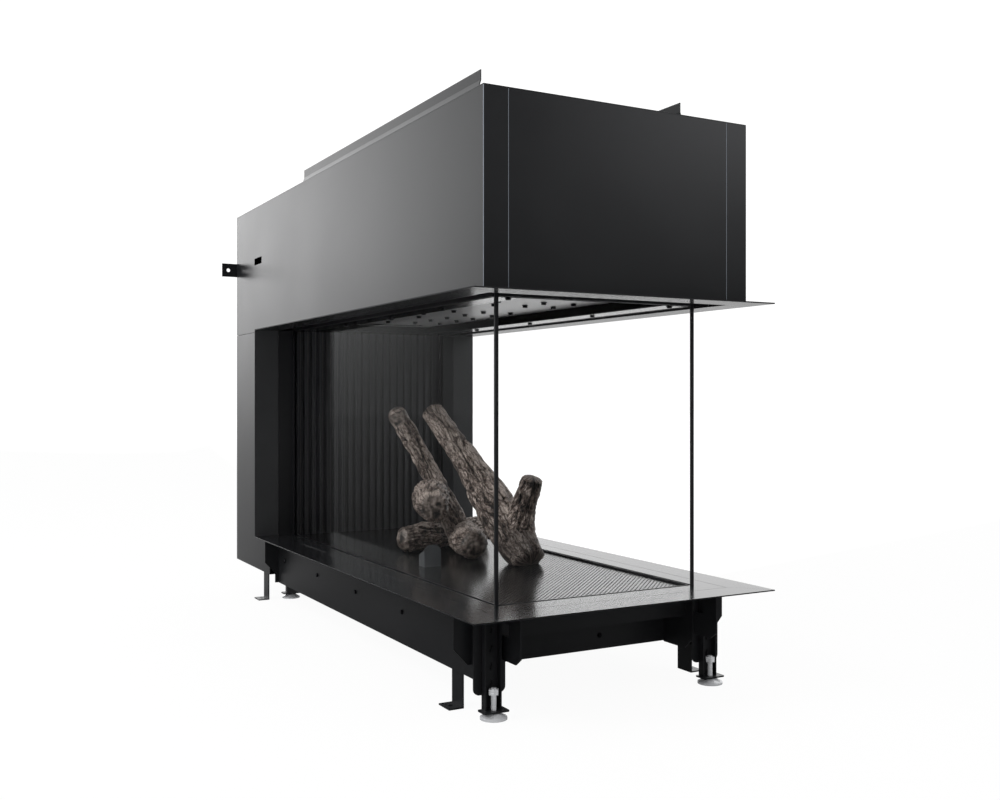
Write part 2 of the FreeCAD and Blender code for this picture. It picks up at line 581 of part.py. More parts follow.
def make_gas_train():
    """Makes the burner box under the deck, the gas pipe, the valve behind the bulkhead and the pilot's hood."""
    box = new_body("burner_box")
    front = lining_front + s.burner_front_gap
    rear = flute_front - s.burner_rear_gap
    low = deck_under - s.burner_height
    half = lining_half - s.burner_margin
    sheet = s.base_sheet
    extrude(box, "XY", low, sheet, [box_outline((-half, front), (half, rear))])
    extrude(box, "XY", low, s.burner_height, [
        box_outline((-half, front), (half, rear)),
        box_outline((-half + sheet, front + sheet), (half - sheet, rear - sheet))])
    hole = extrude(box, "XZ", rear - sheet, sheet, [], [((ZERO, s.pipe_level), s.pipe_radius + s.hole_clearance)],
                   "Pocket")
    hole.SideType = "Symmetric"
    bind(hole, "Length", sheet * 2.5)
    start = rear - s.pipe_radius * 2
    prism("gas_pipe", "XZ", start, bulkhead_rear - start, [],
          [((ZERO, s.pipe_level), s.pipe_radius), ((ZERO, s.pipe_level), s.pipe_radius - s.pipe_wall)])
    valve = new_body("gas_valve")
    low_valve = s.pipe_level - s.valve_height / 2
    wide = s.valve_width / 2
    ear = s.valve_width / 8
    extrude(valve, "XY", low_valve, s.valve_height, [[
        (-wide, bulkhead_rear), (wide, bulkhead_rear), (wide, bulkhead_rear + s.valve_depth - ear),
        (wide - ear, bulkhead_rear + s.valve_depth), (-wide + ear, bulkhead_rear + s.valve_depth),
        (-wide, bulkhead_rear + s.valve_depth - ear)]])
    extrude(valve, "XY", low_valve - s.inlet_length, s.inlet_length, [],
            [((ZERO, bulkhead_rear + s.valve_depth / 2), s.pipe_radius)])
    pilot = new_body("pilot_hood")
    wide = s.pilot_width / 2
    cut = s.pilot_width / 4
    extrude(pilot, "XZ", ZERO, s.pilot_sheet, [[
        (-wide, deck_top), (wide, deck_top), (wide, deck_top + s.pilot_height - cut),
        (wide - cut, deck_top + s.pilot_height), (-wide + cut, deck_top + s.pilot_height),
        (-wide, deck_top + s.pilot_height - cut)]])
    for edge in (-wide, wide - s.pilot_sheet):
        extrude(pilot, "YZ", edge, s.pilot_sheet, [[
            (ZERO, deck_top), (s.pilot_depth, deck_top), (s.pilot_depth, deck_top + s.pilot_height / 2),
            (ZERO, deck_top + s.pilot_height - cut)]])
    place(pilot, s.pilot_x, s.pilot_y)


def log_shape(start, end, first, last, sway, knot=None):
    """Lofts a tapered log through many-sided rings from start to end, bowed sideways, with a swelling near the butt."""
    axis = end - start
    turn = Rotation(Vector(0, 0, 1), axis)
    sideways = axis.cross(Vector(0, 0, 1))
    sideways.normalize()
    rings = []
    for share in (0, 0.18, 0.4, 0.7, 1):
        centre = start + axis * share + sideways * (sway * math.sin(math.pi * share))
        radius = first + (last - first) * share
        if knot and share == 0.18:
            radius = knot
        angles = [2 * math.pi * i / LOG_FACETS for i in range(LOG_FACETS + 1)]
        points = [Vector(radius * math.cos(angle), radius * math.sin(angle), 0) for angle in angles]
        rings.append(Part.makePolygon([centre + turn.multVec(point) for point in points]))
    return Part.makeLoft(rings, True, True)


def add_log(label, shape):
    """Lists a finished log."""
    log = doc.addObject("Part::Feature", label)
    log.Shape = shape
    NODES.append(log)


def make_logs():
    """Makes the five ceramic logs, each cut flat on the deck and notched where it lies on another."""
    deck = deck_top.value
    reach = s.body_length.value
    below = Part.makeBox(reach, reach, deck, Vector(-reach / 2, -reach / 2, 0))
    sway = s.log_sway.value

    def along(start, direction, length):
        course = Vector(*direction)
        course.normalize()
        return start + course * length

    def ground(x, y, rise):
        return Vector(x.value, y.value, deck + rise)

    cross_r = s.cross_log_radius.value
    cross_start = ground(s.cross_log_x, s.cross_log_y, cross_r)
    cross_end = along(cross_start, (0.96, 0.28, 0), s.cross_log_length.value)
    cross_log = log_shape(cross_start, cross_end, cross_r * 1.03, cross_r * 1.03, sway).cut(below)
    front_r = s.front_log_radius.value
    front_start = ground(s.front_log_x, s.front_log_y, front_r)
    front_end = along(front_start, (0.3, 0.95, 0), s.front_log_length.value)
    front_log = log_shape(front_start, front_end, front_r * 1.03, front_r * 1.03, sway / 2).cut(below).cut(cross_log)
    crown_r = s.crown_radius.value
    crown_start = ground(s.crown_x, s.crown_y, s.crown_rise.value)
    crown_end = along(crown_start, (0.5, 0.86, -0.12), s.crown_length.value)
    crown = log_shape(crown_start, crown_end, crown_r, crown_r * 0.8, sway).cut(cross_log).cut(front_log)
    leaner_top = ground(s.leaner_x, s.leaner_y, s.leaner_top.value)
    leaner_low = along(leaner_top, (0.362, -0.362, -0.859), s.leaner_length.value)
    leaner = log_shape(leaner_low, leaner_top, s.leaner_butt.value, s.leaner_tip.value, sway)
    leaner = leaner.cut(below).cut(cross_log).cut(front_log).cut(crown)
    branch_start = ground(s.branch_x, s.branch_y, s.branch_rise.value)
    branch_end = along(branch_start, (-0.169, 0.697, 0.698), s.branch_length.value)
    branch = log_shape(branch_start, branch_end, s.branch_butt.value, s.branch_tip.value, sway, s.branch_knot.value)
    stub_start = ground(s.stub_x, s.stub_y, s.stub_rise.value)
    stub_end = along(stub_start, (0.03, -0.16, 0.99), s.stub_length.value)
    stub = log_shape(stub_start, stub_end, s.stub_radius.value * 1.4, s.stub_radius.value, sway / 2)
    branch = branch.fuse(stub).cut(below).cut(crown).cut(leaner)
    logs = {"log_cross": cross_log, "log_front": front_log, "log_crown": crown, "log_leaning": leaner,
            "log_branch": branch}
    for label, shape in logs.items():
        add_log(label, max(shape.Solids, key=lambda solid: solid.Volume))


def make_base():
    """Makes the side skirts with their gussets, the base pan, the front rail and the bulkhead."""
    sheet = s.base_sheet
    section = [(skirt_out, s.skirt_base), (skirt_out, trim_base), (channel_out + sheet * 2, trim_base),
               (channel_out + sheet * 2, trim_base - sheet), (skirt_in, trim_base - sheet),
               (skirt_in, s.skirt_base + sheet), (skirt_out - s.skirt_lip, s.skirt_base + sheet),
               (skirt_out - s.skirt_lip, s.skirt_base)]
    reach = skirt_out + s.gusset_reach
    gusset = [(skirt_out, s.gusset_toe), (skirt_out + s.gusset_toe_reach, s.gusset_toe), (reach, s.gusset_low),
              (reach, trim_base), (skirt_out, trim_base)]
    for name, side in SIDES.items():
        body = new_body(f"skirt_{name}")
        extrude(body, "XZ", bracket_back, pan_rear - bracket_back, [mirrored(section, side)])
        extrude(body, "XZ", hood_front + s.gusset_setback, s.bulkhead_plate, [mirrored(gusset, side)])
    floor = s.skirt_base + sheet
    pan = [(pan_front, floor), (pan_rear, floor), (pan_rear, deck_under), (pan_rear - sheet, deck_under),
           (pan_rear - sheet, floor + sheet), (pan_front + sheet, floor + sheet), (pan_front + sheet, deck_under),
           (pan_front, deck_under)]
    pipe_hole = [((ZERO, s.pipe_level), s.pipe_radius + s.hole_clearance)]
    body = new_body("base_pan")
    extrude(body, "YZ", -skirt_in, skirt_in * 2, [pan])
    hole = extrude(body, "XZ", pan_rear, sheet, [], pipe_hole, "Pocket")
    hole.SideType = "Symmetric"
    bind(hole, "Length", sheet * 3)
    low_wall = sill_base - s.panel_seam
    steps = extrude(body, "XZ", ZERO, sheet, [
        mirrored(box_outline((lining_half, low_wall), (half_hood, trim_base)), side) for side in SIDES.values()],
        kind="Pocket")
    steps.SideType = "Symmetric"
    bind(steps, "Length", s.body_length)
    half_rail = leg_x - s.bracket_half_width
    rail = [(lining_front, deck_under), (lining_front, deck_under - s.rail_drop),
            (lining_front + sheet, deck_under - s.rail_drop), (lining_front + sheet, deck_under - sheet),
            (lining_front + s.rail_lip, deck_under - sheet), (lining_front + s.rail_lip, deck_under)]
    prism("front_rail", "YZ", -half_rail, half_rail * 2, [rail])
    toe = skirt_out + s.gusset_toe_reach
    relief = sill_base - s.panel_seam
    notch = channel_out + sheet
    prism("bulkhead", "XZ", pan_rear, s.bulkhead_plate, [[
        (-toe, s.skirt_base), (toe, s.skirt_base), (toe, s.gusset_toe), (reach, s.gusset_low), (reach, trim_base),
        (notch, trim_base), (notch, relief), (-notch, relief), (-notch, trim_base),
        (-reach, trim_base), (-reach, s.gusset_low), (-toe, s.gusset_toe)]], pipe_hole)


def make_legs():
    """Makes the four leg brackets and, on each, a slotted leg with its levelling foot."""
    corners = {
        "front_left": (-leg_x, leg_y, 0, 1), "front_right": (leg_x, leg_y, 0, -1),
        "rear_left": (-rear_leg_x, rear_leg_y, 180, -1), "rear_right": (rear_leg_x, rear_leg_y, 180, 1),
    }
    brackets = []
    for name, (across, along, turn, inward) in corners.items():
        pieces = [make_bracket(name, inward), make_leg(name), make_foot(name)]
        for piece in pieces:
            place(piece, across, along, turn)
        brackets.append(pieces[0])
    group("leg_brackets", brackets)


def make_bracket(name, inward):
    """Makes the fixed plate behind a leg, with a return plate to the base and, at the front, a fin beside the leg."""
    body = new_body(f"leg_bracket_{name}", listed=False)
    face = s.leg_depth + s.foot_gap
    half = s.bracket_half_width
    extrude(body, "XZ", face, s.bulkhead_plate, [box_outline((-half, s.bracket_base), (half, trim_base))])
    limit = s.bracket_base.value + 1
    round_edges(body, s.bracket_round, lambda edge: edge.BoundBox.ZMax < limit and edge.BoundBox.XLength < 0.1)
    inner = half - s.bulkhead_plate if inward > 0 else -half
    back = face + s.bulkhead_plate
    chamfer = s.bracket_reach / 4
    extrude(body, "YZ", inner, s.bulkhead_plate, [[
        (face, s.skirt_base + chamfer), (back + chamfer, s.skirt_base), (back + s.bracket_reach, s.skirt_base),
        (back + s.bracket_reach, sill_base - s.panel_seam), (face, sill_base - s.panel_seam)]])
    if name.startswith("front"):
        outer = hood_front - leg_y
        beside = s.fin_offset if inward > 0 else -s.fin_offset - s.bulkhead_plate
        window_back = face - s.fin_window_gap
        window_top = s.fin_window_base + s.fin_window_height
        extrude(body, "YZ", beside, s.bulkhead_plate, [
            [(outer, trim_base), (outer, s.fin_base + s.fin_chamfer_rise), (outer + s.fin_chamfer, s.fin_base),
             (face, s.fin_base), (face, trim_base)],
            box_outline((window_back - s.fin_window_width, s.fin_window_base), (window_back, window_top))])
    return body


def make_leg(name):
    """Makes a channel leg, open to the front, with keyholes down its web and a foot plate below."""
    body = new_body(f"leg_{name}")
    half = s.leg_width / 2
    depth = s.leg_depth
    sheet = s.leg_sheet
    top = trim_base - s.foot_gap
    base = s.foot_plate_level + s.foot_plate
    extrude(body, "XY", base, top - base, [[
        (-half, ZERO), (-half + sheet, ZERO), (-half + sheet, depth - sheet), (half - sheet, depth - sheet),
        (half - sheet, ZERO), (half, ZERO), (half, depth), (-half, depth)]])
    extrude(body, "XY", s.foot_plate_level, s.foot_plate, [box_outline(
        (-s.foot_plate_width / 2, -s.foot_plate_depth / 2), (s.foot_plate_width / 2, s.foot_plate_depth / 2))],
        [((ZERO, ZERO), s.stud_radius + s.stud_clearance)])
    round_edges(body, s.foot_plate, lambda edge: edge.BoundBox.ZMax < base.value + 0.1 and edge.BoundBox.ZLength > 1
                and edge.BoundBox.XLength < 0.1 and edge.BoundBox.YLength < 0.1
                and abs(edge.BoundBox.XMax) > half.value + 1)
    head = s.keyhole_radius
    outline = [(-0.5, -0.87), (-1.0, 0.0), (-0.71, 0.71), (0.0, 1.0), (0.71, 0.71), (1.0, 0.0), (0.5, -0.87)]
    keyholes = []
    for i in range(4):
        level = s.keyhole_top - s.keyhole_pitch * i
        tail = level - s.keyhole_tail
        keyholes.append([(head * across, level + head * up) for across, up in outline]
                        + [(head * 0.5, tail), (head * -0.5, tail)])
    pocket = extrude(body, "XZ", depth - sheet / 2, sheet, keyholes, kind="Pocket")
    pocket.SideType = "Symmetric"
    bind(pocket, "Length", sheet * 2)
    return body


def make_foot(name):
    """Makes a levelling foot: a disc with a conical boss, a stud and the hexagon that turns it."""
    body = new_body(f"foot_{name}")
    sketch = sketch_on(body, "XZ", ZERO)
    boss = s.foot_plate_level - s.foot_gap
    draw_outline(sketch, [(ZERO, ZERO), (s.disc_radius, ZERO), (s.disc_radius, s.disc_rim), (s.boss_radius, boss),
                          (s.stud_radius, boss), (s.stud_radius, s.stud_top), (ZERO, s.stud_top)])
    disc = body.newObject("PartDesign::Revolution", f"{body.Label}_disc")
    disc.Profile = sketch
    disc.ReferenceAxis = (sketch, ["V_Axis"])
    disc.Angle = 360
    across = s.nut_flats / 2
    tip = s.nut_flats / math.sqrt(3)
    extrude(body, "XY", s.nut_low, s.nut_high - s.nut_low, [[
        (tip, ZERO), (tip / 2, across), (-tip / 2, across), (-tip, ZERO), (-tip / 2, -across), (tip / 2, -across)]])
    return body


def make_fixings():
    """Makes the folded floor brackets and the flat wall brackets."""
    plate = s.floor_bracket_plate
    web = half_hood - s.floor_bracket_inset
    tab = web + s.floor_tab
    brackets = []
    seats = {"front": (hood_front + s.floor_front_setback, s.skirt_base),
             "rear": (body_rear - s.floor_rear_setback, s.column_base)}
    for end, (middle, seat) in seats.items():
        for name, side in SIDES.items():
            body = new_body(f"floor_bracket_{end}_{name}", listed=False)
            profile = [(tab, ZERO), (tab, plate), (web, plate), (web, seat), (web - s.floor_bracket_top, seat),
                       (web - s.floor_bracket_top, seat - plate), (web - plate, seat - plate), (web - plate, ZERO)]
            extrude(body, "XZ", middle - s.floor_bracket_width / 2, s.floor_bracket_width,
                    [mirrored(profile, side)])
            hole = extrude(body, "XY", ZERO, plate, [], [
                (((web + s.floor_tab / 2) * side, middle), s.floor_hole_radius)], "Pocket")
            hole.SideType = "Symmetric"
            bind(hole, "Length", plate * 3)
            brackets.append(body)
    group("floor_brackets", brackets)
    low = s.wall_bracket_level - s.wall_bracket_height / 2
    group("wall_brackets", [
        prism(f"wall_bracket_{name}", "XZ", body_rear, s.wall_bracket_plate, [mirrored(box_outline(
            (half_hood - s.wall_bracket_lap, low), (half_hood + s.wall_tab, low + s.wall_bracket_height)), side)],
            [(((half_hood + s.wall_hole_reach) * side, s.wall_bracket_level), s.wall_hole_radius)], listed=False)
        for name, side in SIDES.items()])


def export_nodes():
    """Checks every object of the document and writes each node to its STEP file."""
    doc.recompute()
    faults = [item.Label for item in doc.Objects if {"Invalid", "Error"} & set(item.State)]
    faults += [node.Label for node in NODES if node.Shape.isNull() or not node.Shape.isValid()]
    if faults:
        raise RuntimeError(f"faulty objects: {faults}")
    os.makedirs("parts", exist_ok=True)
    for node in NODES:
        node.Shape.exportStep(f"parts/{node.Label}.step")
    print(len(NODES), "nodes written")


make_hood()
make_roof()
make_column()
make_trims()
make_glazing()
make_ceiling()
make_back_wall()
make_deck()
make_gas_train()
make_logs()
make_base()
make_legs()
make_fixings()
export_nodes()
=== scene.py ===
"""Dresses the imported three-sided gas fireplace.

The CAD nodes get steel finishes and glass, and a slotted deck, bark logs and fasteners are added.
"""
from __future__ import annotations

import json
import logging
import math
from dataclasses import dataclass, field
from enum import Enum
from typing import Union

import bpy
import numpy as np
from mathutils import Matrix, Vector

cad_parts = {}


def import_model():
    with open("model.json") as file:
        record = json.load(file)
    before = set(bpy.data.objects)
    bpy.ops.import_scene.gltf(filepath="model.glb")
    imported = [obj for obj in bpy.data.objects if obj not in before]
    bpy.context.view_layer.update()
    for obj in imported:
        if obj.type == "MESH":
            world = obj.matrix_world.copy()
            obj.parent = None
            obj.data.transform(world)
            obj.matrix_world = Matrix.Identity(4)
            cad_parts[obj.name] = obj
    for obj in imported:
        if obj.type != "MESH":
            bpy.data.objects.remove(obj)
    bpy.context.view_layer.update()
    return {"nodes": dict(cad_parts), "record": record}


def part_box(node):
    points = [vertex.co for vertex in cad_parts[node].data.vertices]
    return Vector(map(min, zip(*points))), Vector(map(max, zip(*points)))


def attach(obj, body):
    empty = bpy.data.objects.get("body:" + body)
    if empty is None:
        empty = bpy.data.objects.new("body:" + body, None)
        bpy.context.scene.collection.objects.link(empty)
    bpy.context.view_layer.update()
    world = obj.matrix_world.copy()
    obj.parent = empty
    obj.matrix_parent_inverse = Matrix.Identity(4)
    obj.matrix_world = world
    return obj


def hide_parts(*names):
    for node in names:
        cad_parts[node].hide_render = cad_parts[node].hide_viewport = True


LOG = logging.getLogger("fireplace")
MM = 0.001
TINY = 1e-7
ROOT = "casing"
WHITE = (1.0, 1.0, 1.0, 1.0)
Colour = tuple[float, float, float]
Point = tuple[float, float, float]
Socket = bpy.types.NodeSocket
Source = Union[bpy.types.NodeSocket, float, tuple]


class Axis(Enum):
    """The way a fastener's head points."""

    LEFT = (-1, 0, 0)
    RIGHT = (1, 0, 0)
    FRONT = (0, -1, 0)
    DOWN = (0, 0, -1)


class EndShape(Enum):
    """How a log ends, as the share of its radius by which the end stands out."""

    FLAT = 0.12
    ROUND = 0.75
    BROKEN = 0.35


class NodeBench:
    """A node tree, with short calls that add nodes and join them."""

    def __init__(self, tree: bpy.types.NodeTree) -> None:
        """Empties the tree.

        Args:
            tree: The tree of a material or a world.
        """
        self.tree = tree
        tree.nodes.clear()

    def add(self, kind: str, feeds: dict[int | str, Source] | None = None,
            **settings: object) -> bpy.types.Node:
        """Adds a node, sets its properties and fills its inputs.

        Args:
            kind: Blender's name of the node type.
            feeds: For each input, a socket to link or a plain value to set.
            settings: Properties of the node.

        Returns:
            The new node.
        """
        node = self.tree.nodes.new(kind)
        for key, value in settings.items():
            setattr(node, key, value)
        for key, source in (feeds or {}).items():
            if isinstance(source, bpy.types.NodeSocket):
                self.tree.links.new(source, node.inputs[key])
            else:
                node.inputs[key].default_value = source
        return node

    def span(self, source: Source, low: float, high: float,
             start: float = 0.3, end: float = 0.7) -> Socket:
        """Maps a factor from start..end to low..high and returns the result socket."""
        ends = {"Value": source, "From Min": start, "From Max": end, "To Min": low, "To Max": high}
        return self.add("ShaderNodeMapRange", ends).outputs["Result"]

    def combine(self, kind: str, first: Source, second: Source) -> Socket:
        """Joins two numbers with an arithmetic operation and returns the value socket."""
        return self.add("ShaderNodeMath", {0: first, 1: second}, operation=kind).outputs["Value"]

    def vectors(self, kind: str, *sources: Source) -> bpy.types.bpy_prop_collection:
        """Joins vectors with an operation and returns the sockets Vector and Value."""
        return self.add("ShaderNodeVectorMath", dict(enumerate(sources)), operation=kind).outputs

    def parts(self, vector: Source) -> bpy.types.bpy_prop_collection:
        """Splits a vector and returns its sockets X, Y and Z."""
        return self.add("ShaderNodeSeparateXYZ", {"Vector": vector}).outputs


class ShaderBench(NodeBench):
    """One material's node tree."""

    def __init__(self, name: str) -> None:
        """Starts an empty material.

        Args:
            name: The material's name.
        """
        self.material = bpy.data.materials.new(name)
        self.material.use_nodes = True
        super().__init__(self.material.node_tree)
        self.output = self.add("ShaderNodeOutputMaterial")
        self.place = self.add("ShaderNodeTexCoord").outputs["Object"]

    def stretched(self, scale: Point, vector: Socket | None = None) -> Socket:
        """Scales coordinates, the object's own if none are given, and returns the vector socket."""
        feeds = {"Vector": vector or self.place, "Scale": scale}
        return self.add("ShaderNodeMapping", feeds).outputs["Vector"]

    def noise(self, scale: float, detail: float = 3.0, vector: Socket | None = None,
              output: str = "Fac") -> Socket:
        """Adds noise of a scale (cells per metre) and detail (octaves) and returns its socket."""
        feeds = {"Vector": vector or self.place, "Scale": scale, "Detail": detail}
        return self.add("ShaderNodeTexNoise", feeds).outputs[output]

    def upward(self) -> Socket:
        """Gives the upward share of the surface's normal, from -1 to 1."""
        return self.parts(self.add("ShaderNodeNewGeometry").outputs["Normal"])["Z"]

    def ramp(self, source: Source, stops: list[tuple[float, Colour]]) -> Socket:
        """Colours a factor.

        Args:
            source: The factor.
            stops: Positions and colours, in order.

        Returns:
            The colour socket.
        """
        node = self.add("ShaderNodeValToRGB", {"Fac": source})
        elements = node.color_ramp.elements
        while len(elements) < len(stops):
            elements.new(1.0)
        for element, (position, colour) in zip(elements, stops):
            element.position = position
            element.color = (*colour, 1.0)
        return node.outputs["Color"]

    def blend(self, factor: Source, first: Source, second: Source) -> Socket:
        """Mixes two colours by the share of the second and returns the colour socket."""
        feeds = {0: factor, 6: first, 7: second}
        return self.add("ShaderNodeMix", feeds, data_type="RGBA").outputs[2]

    def bump(self, height: Source, distance: float, strength: float = 1.0) -> Socket:
        """Turns a height of a depth (distance, in metres) into a normal and returns its socket."""
        feeds = {"Height": height, "Distance": distance, "Strength": strength}
        return self.add("ShaderNodeBump", feeds).outputs["Normal"]

    def attribute(self, name: str, output: str = "Fac") -> Socket:
        """Reads what the piece carries at each vertex, a number (Fac) or a Vector."""
        return self.add("ShaderNodeAttribute", attribute_name=name).outputs[output]

    def surface(self, **sockets: Source) -> bpy.types.Node:
        """Adds the main shader, joined to the output.

        Args:
            sockets: Values or sources, with the socket names' spaces as underscores.

        Returns:
            The shader node.
        """
        feeds = {key.replace("_", " "): source for key, source in sockets.items()}
        node = self.add("ShaderNodeBsdfPrincipled", feeds)
        self.show(node.outputs["BSDF"])
        return node

    def mixed(self, share: Source, first: Socket, second: Socket) -> None:
        """Mixes two shaders by the share of the second and shows the result."""
        node = self.add("ShaderNodeMixShader", {0: share, 1: first, 2: second})
        self.show(node.outputs["Shader"])

    def show(self, shader: Socket) -> None:
        """Joins a shader to the output."""
        self.tree.links.new(shader, self.output.inputs["Surface"])


@dataclass(frozen=True)
class PaintFinish:
    """Satin powder coat: a dark colour with cloudy gloss and a fine grain.

    In front of a given y, if one is set, it loses its gloss: painted shade on a strip in shadow.
    If a wall colour is set, upright faces take it and lose their gloss: painted shade on the
    walls of a recess.
    """

    name: str
    colour: Colour
    pale: Colour
    gloss_low: float = 0.34
    gloss_high: float = 0.44
    grain_per_metre: float = 750.0
    grain_depth: float = 0.00012
    grain_share: float = 0.35
    grain_tint: float = 0.4
    cloud_per_metre: float = 5.0
    cloud_tint: float = 0.6
    shine: float = 0.5
    shine_tint: tuple[float, ...] = (0.96, 0.97, 1.0, 1.0)
    wall: Colour | None = None
    wall_lift: float = 0.1
    upright_below: float = 0.5
    level_above: float = 0.8
    painted_shade_before: float | None = None
    painted_shade_fade: float = 0.002

    def make(self) -> bpy.types.Material:
        """Builds the material: colour and gloss drift with cloudy noise, bump with fine noise.

        Returns:
            The material.
        """
        bench = ShaderBench(self.name)
        cloud = bench.noise(self.cloud_per_metre, 4.0)
        grain = bench.noise(self.grain_per_metre, 2.0)
        tint = bench.combine("ADD", bench.span(cloud, 0.0, self.cloud_tint),
                             bench.span(grain, 0.0, self.grain_tint))
        shine: Source = self.shine
        stops = [(self.wall_lift, self.colour), (0.95, self.pale)]
        # Upright faces take the near-black wall colour with no gloss: painted shade on recess
        # walls.
        if self.wall is not None:
            tilt = bench.combine("ABSOLUTE", bench.upward(), 0.0)
            level = bench.span(tilt, 0.0, 1.0, self.upright_below, self.level_above)
            tint = bench.combine("MULTIPLY", bench.combine("ADD", tint, self.wall_lift), level)
            shine = bench.combine("MULTIPLY", level, self.shine)
            stops.insert(0, (0.0, self.wall))
        # In front of the given y the gloss is turned off: painted shade on a strip that lies in
        # shadow.
        if self.painted_shade_before is not None:
            behind = bench.span(bench.parts(bench.place)["Y"], 0.0, 1.0,
                                self.painted_shade_before, self.painted_shade_before + self.painted_shade_fade)
            shine = bench.combine("MULTIPLY", behind, shine)
        bench.surface(Base_Color=bench.ramp(tint, stops), Specular_IOR_Level=shine,
                      Roughness=bench.span(cloud, self.gloss_low, self.gloss_high),
                      Specular_Tint=self.shine_tint,
                      Normal=bench.bump(grain, self.grain_depth, self.grain_share))
        return bench.material


@dataclass(frozen=True)
class MetalFinish:
    """Bare or plated metal with fine marks drawn along one axis."""

    name: str
    colour: Colour
    dull: Colour
    gloss_low: float
    gloss_high: float
    drawn: Point = (40.0, 40.0, 900.0)
    blotches_per_metre: float = 60.0
    mark_depth: float = 0.00005
    mark_share: float = 0.4
    metal: float = 1.0

    def make(self) -> bpy.types.Material:
        """Builds the material: streaks tint the colour and roughen the gloss, blotches dull it.

        Returns:
            The material.
        """
        bench = ShaderBench(self.name)
        streak = bench.noise(1.0, 3.0, bench.stretched(self.drawn))
        blotch = bench.noise(self.blotches_per_metre, 3.0)
        tint = bench.combine("ADD", bench.span(streak, 0.0, 0.5), bench.span(blotch, 0.0, 0.5))
        bench.surface(Base_Color=bench.ramp(tint, [(0.15, self.dull), (0.85, self.colour)]),
                      Metallic=self.metal,
                      Roughness=bench.span(streak, self.gloss_low, self.gloss_high),
                      Normal=bench.bump(streak, self.mark_depth, self.mark_share))
        return bench.material


@dataclass(frozen=True)
class GlassFinish:
    """Clear coated glass: a weak mirror that grows at a slant, and faint wiping marks."""

    name: str
    tint: Colour = (0.998, 0.9985, 0.9985)
    mirror: Colour = (0.9, 0.92, 0.92)
    mirror_facing: float = 0.003
    mirror_slant: float = 0.06
    slant_blend: float = 0.2
    smears_per_metre: float = 9.0
    gloss_low: float = 0.015
    gloss_high: float = 0.06

    def make(self) -> bpy.types.Material:
        """Builds the material: a clear shader mixed with a mirror by the slant of the surface.

        Returns:
            The material.
        """
        bench = ShaderBench(self.name)
        clear = bench.add("ShaderNodeBsdfTransparent", {"Color": (*self.tint, 1.0)})
        smear = bench.noise(self.smears_per_metre, 3.0)
        mirror = bench.surface(Base_Color=(*self.mirror, 1.0), Metallic=1.0,
                               Roughness=bench.span(smear, self.gloss_low, self.gloss_high))
        slant = bench.add("ShaderNodeLayerWeight", {"Blend": self.slant_blend})
        share = bench.span(slant.outputs["Facing"], self.mirror_facing, self.mirror_slant, 0.0, 1.0)
        bench.mixed(share, clear.outputs["BSDF"], mirror.outputs["BSDF"])
        return bench.material


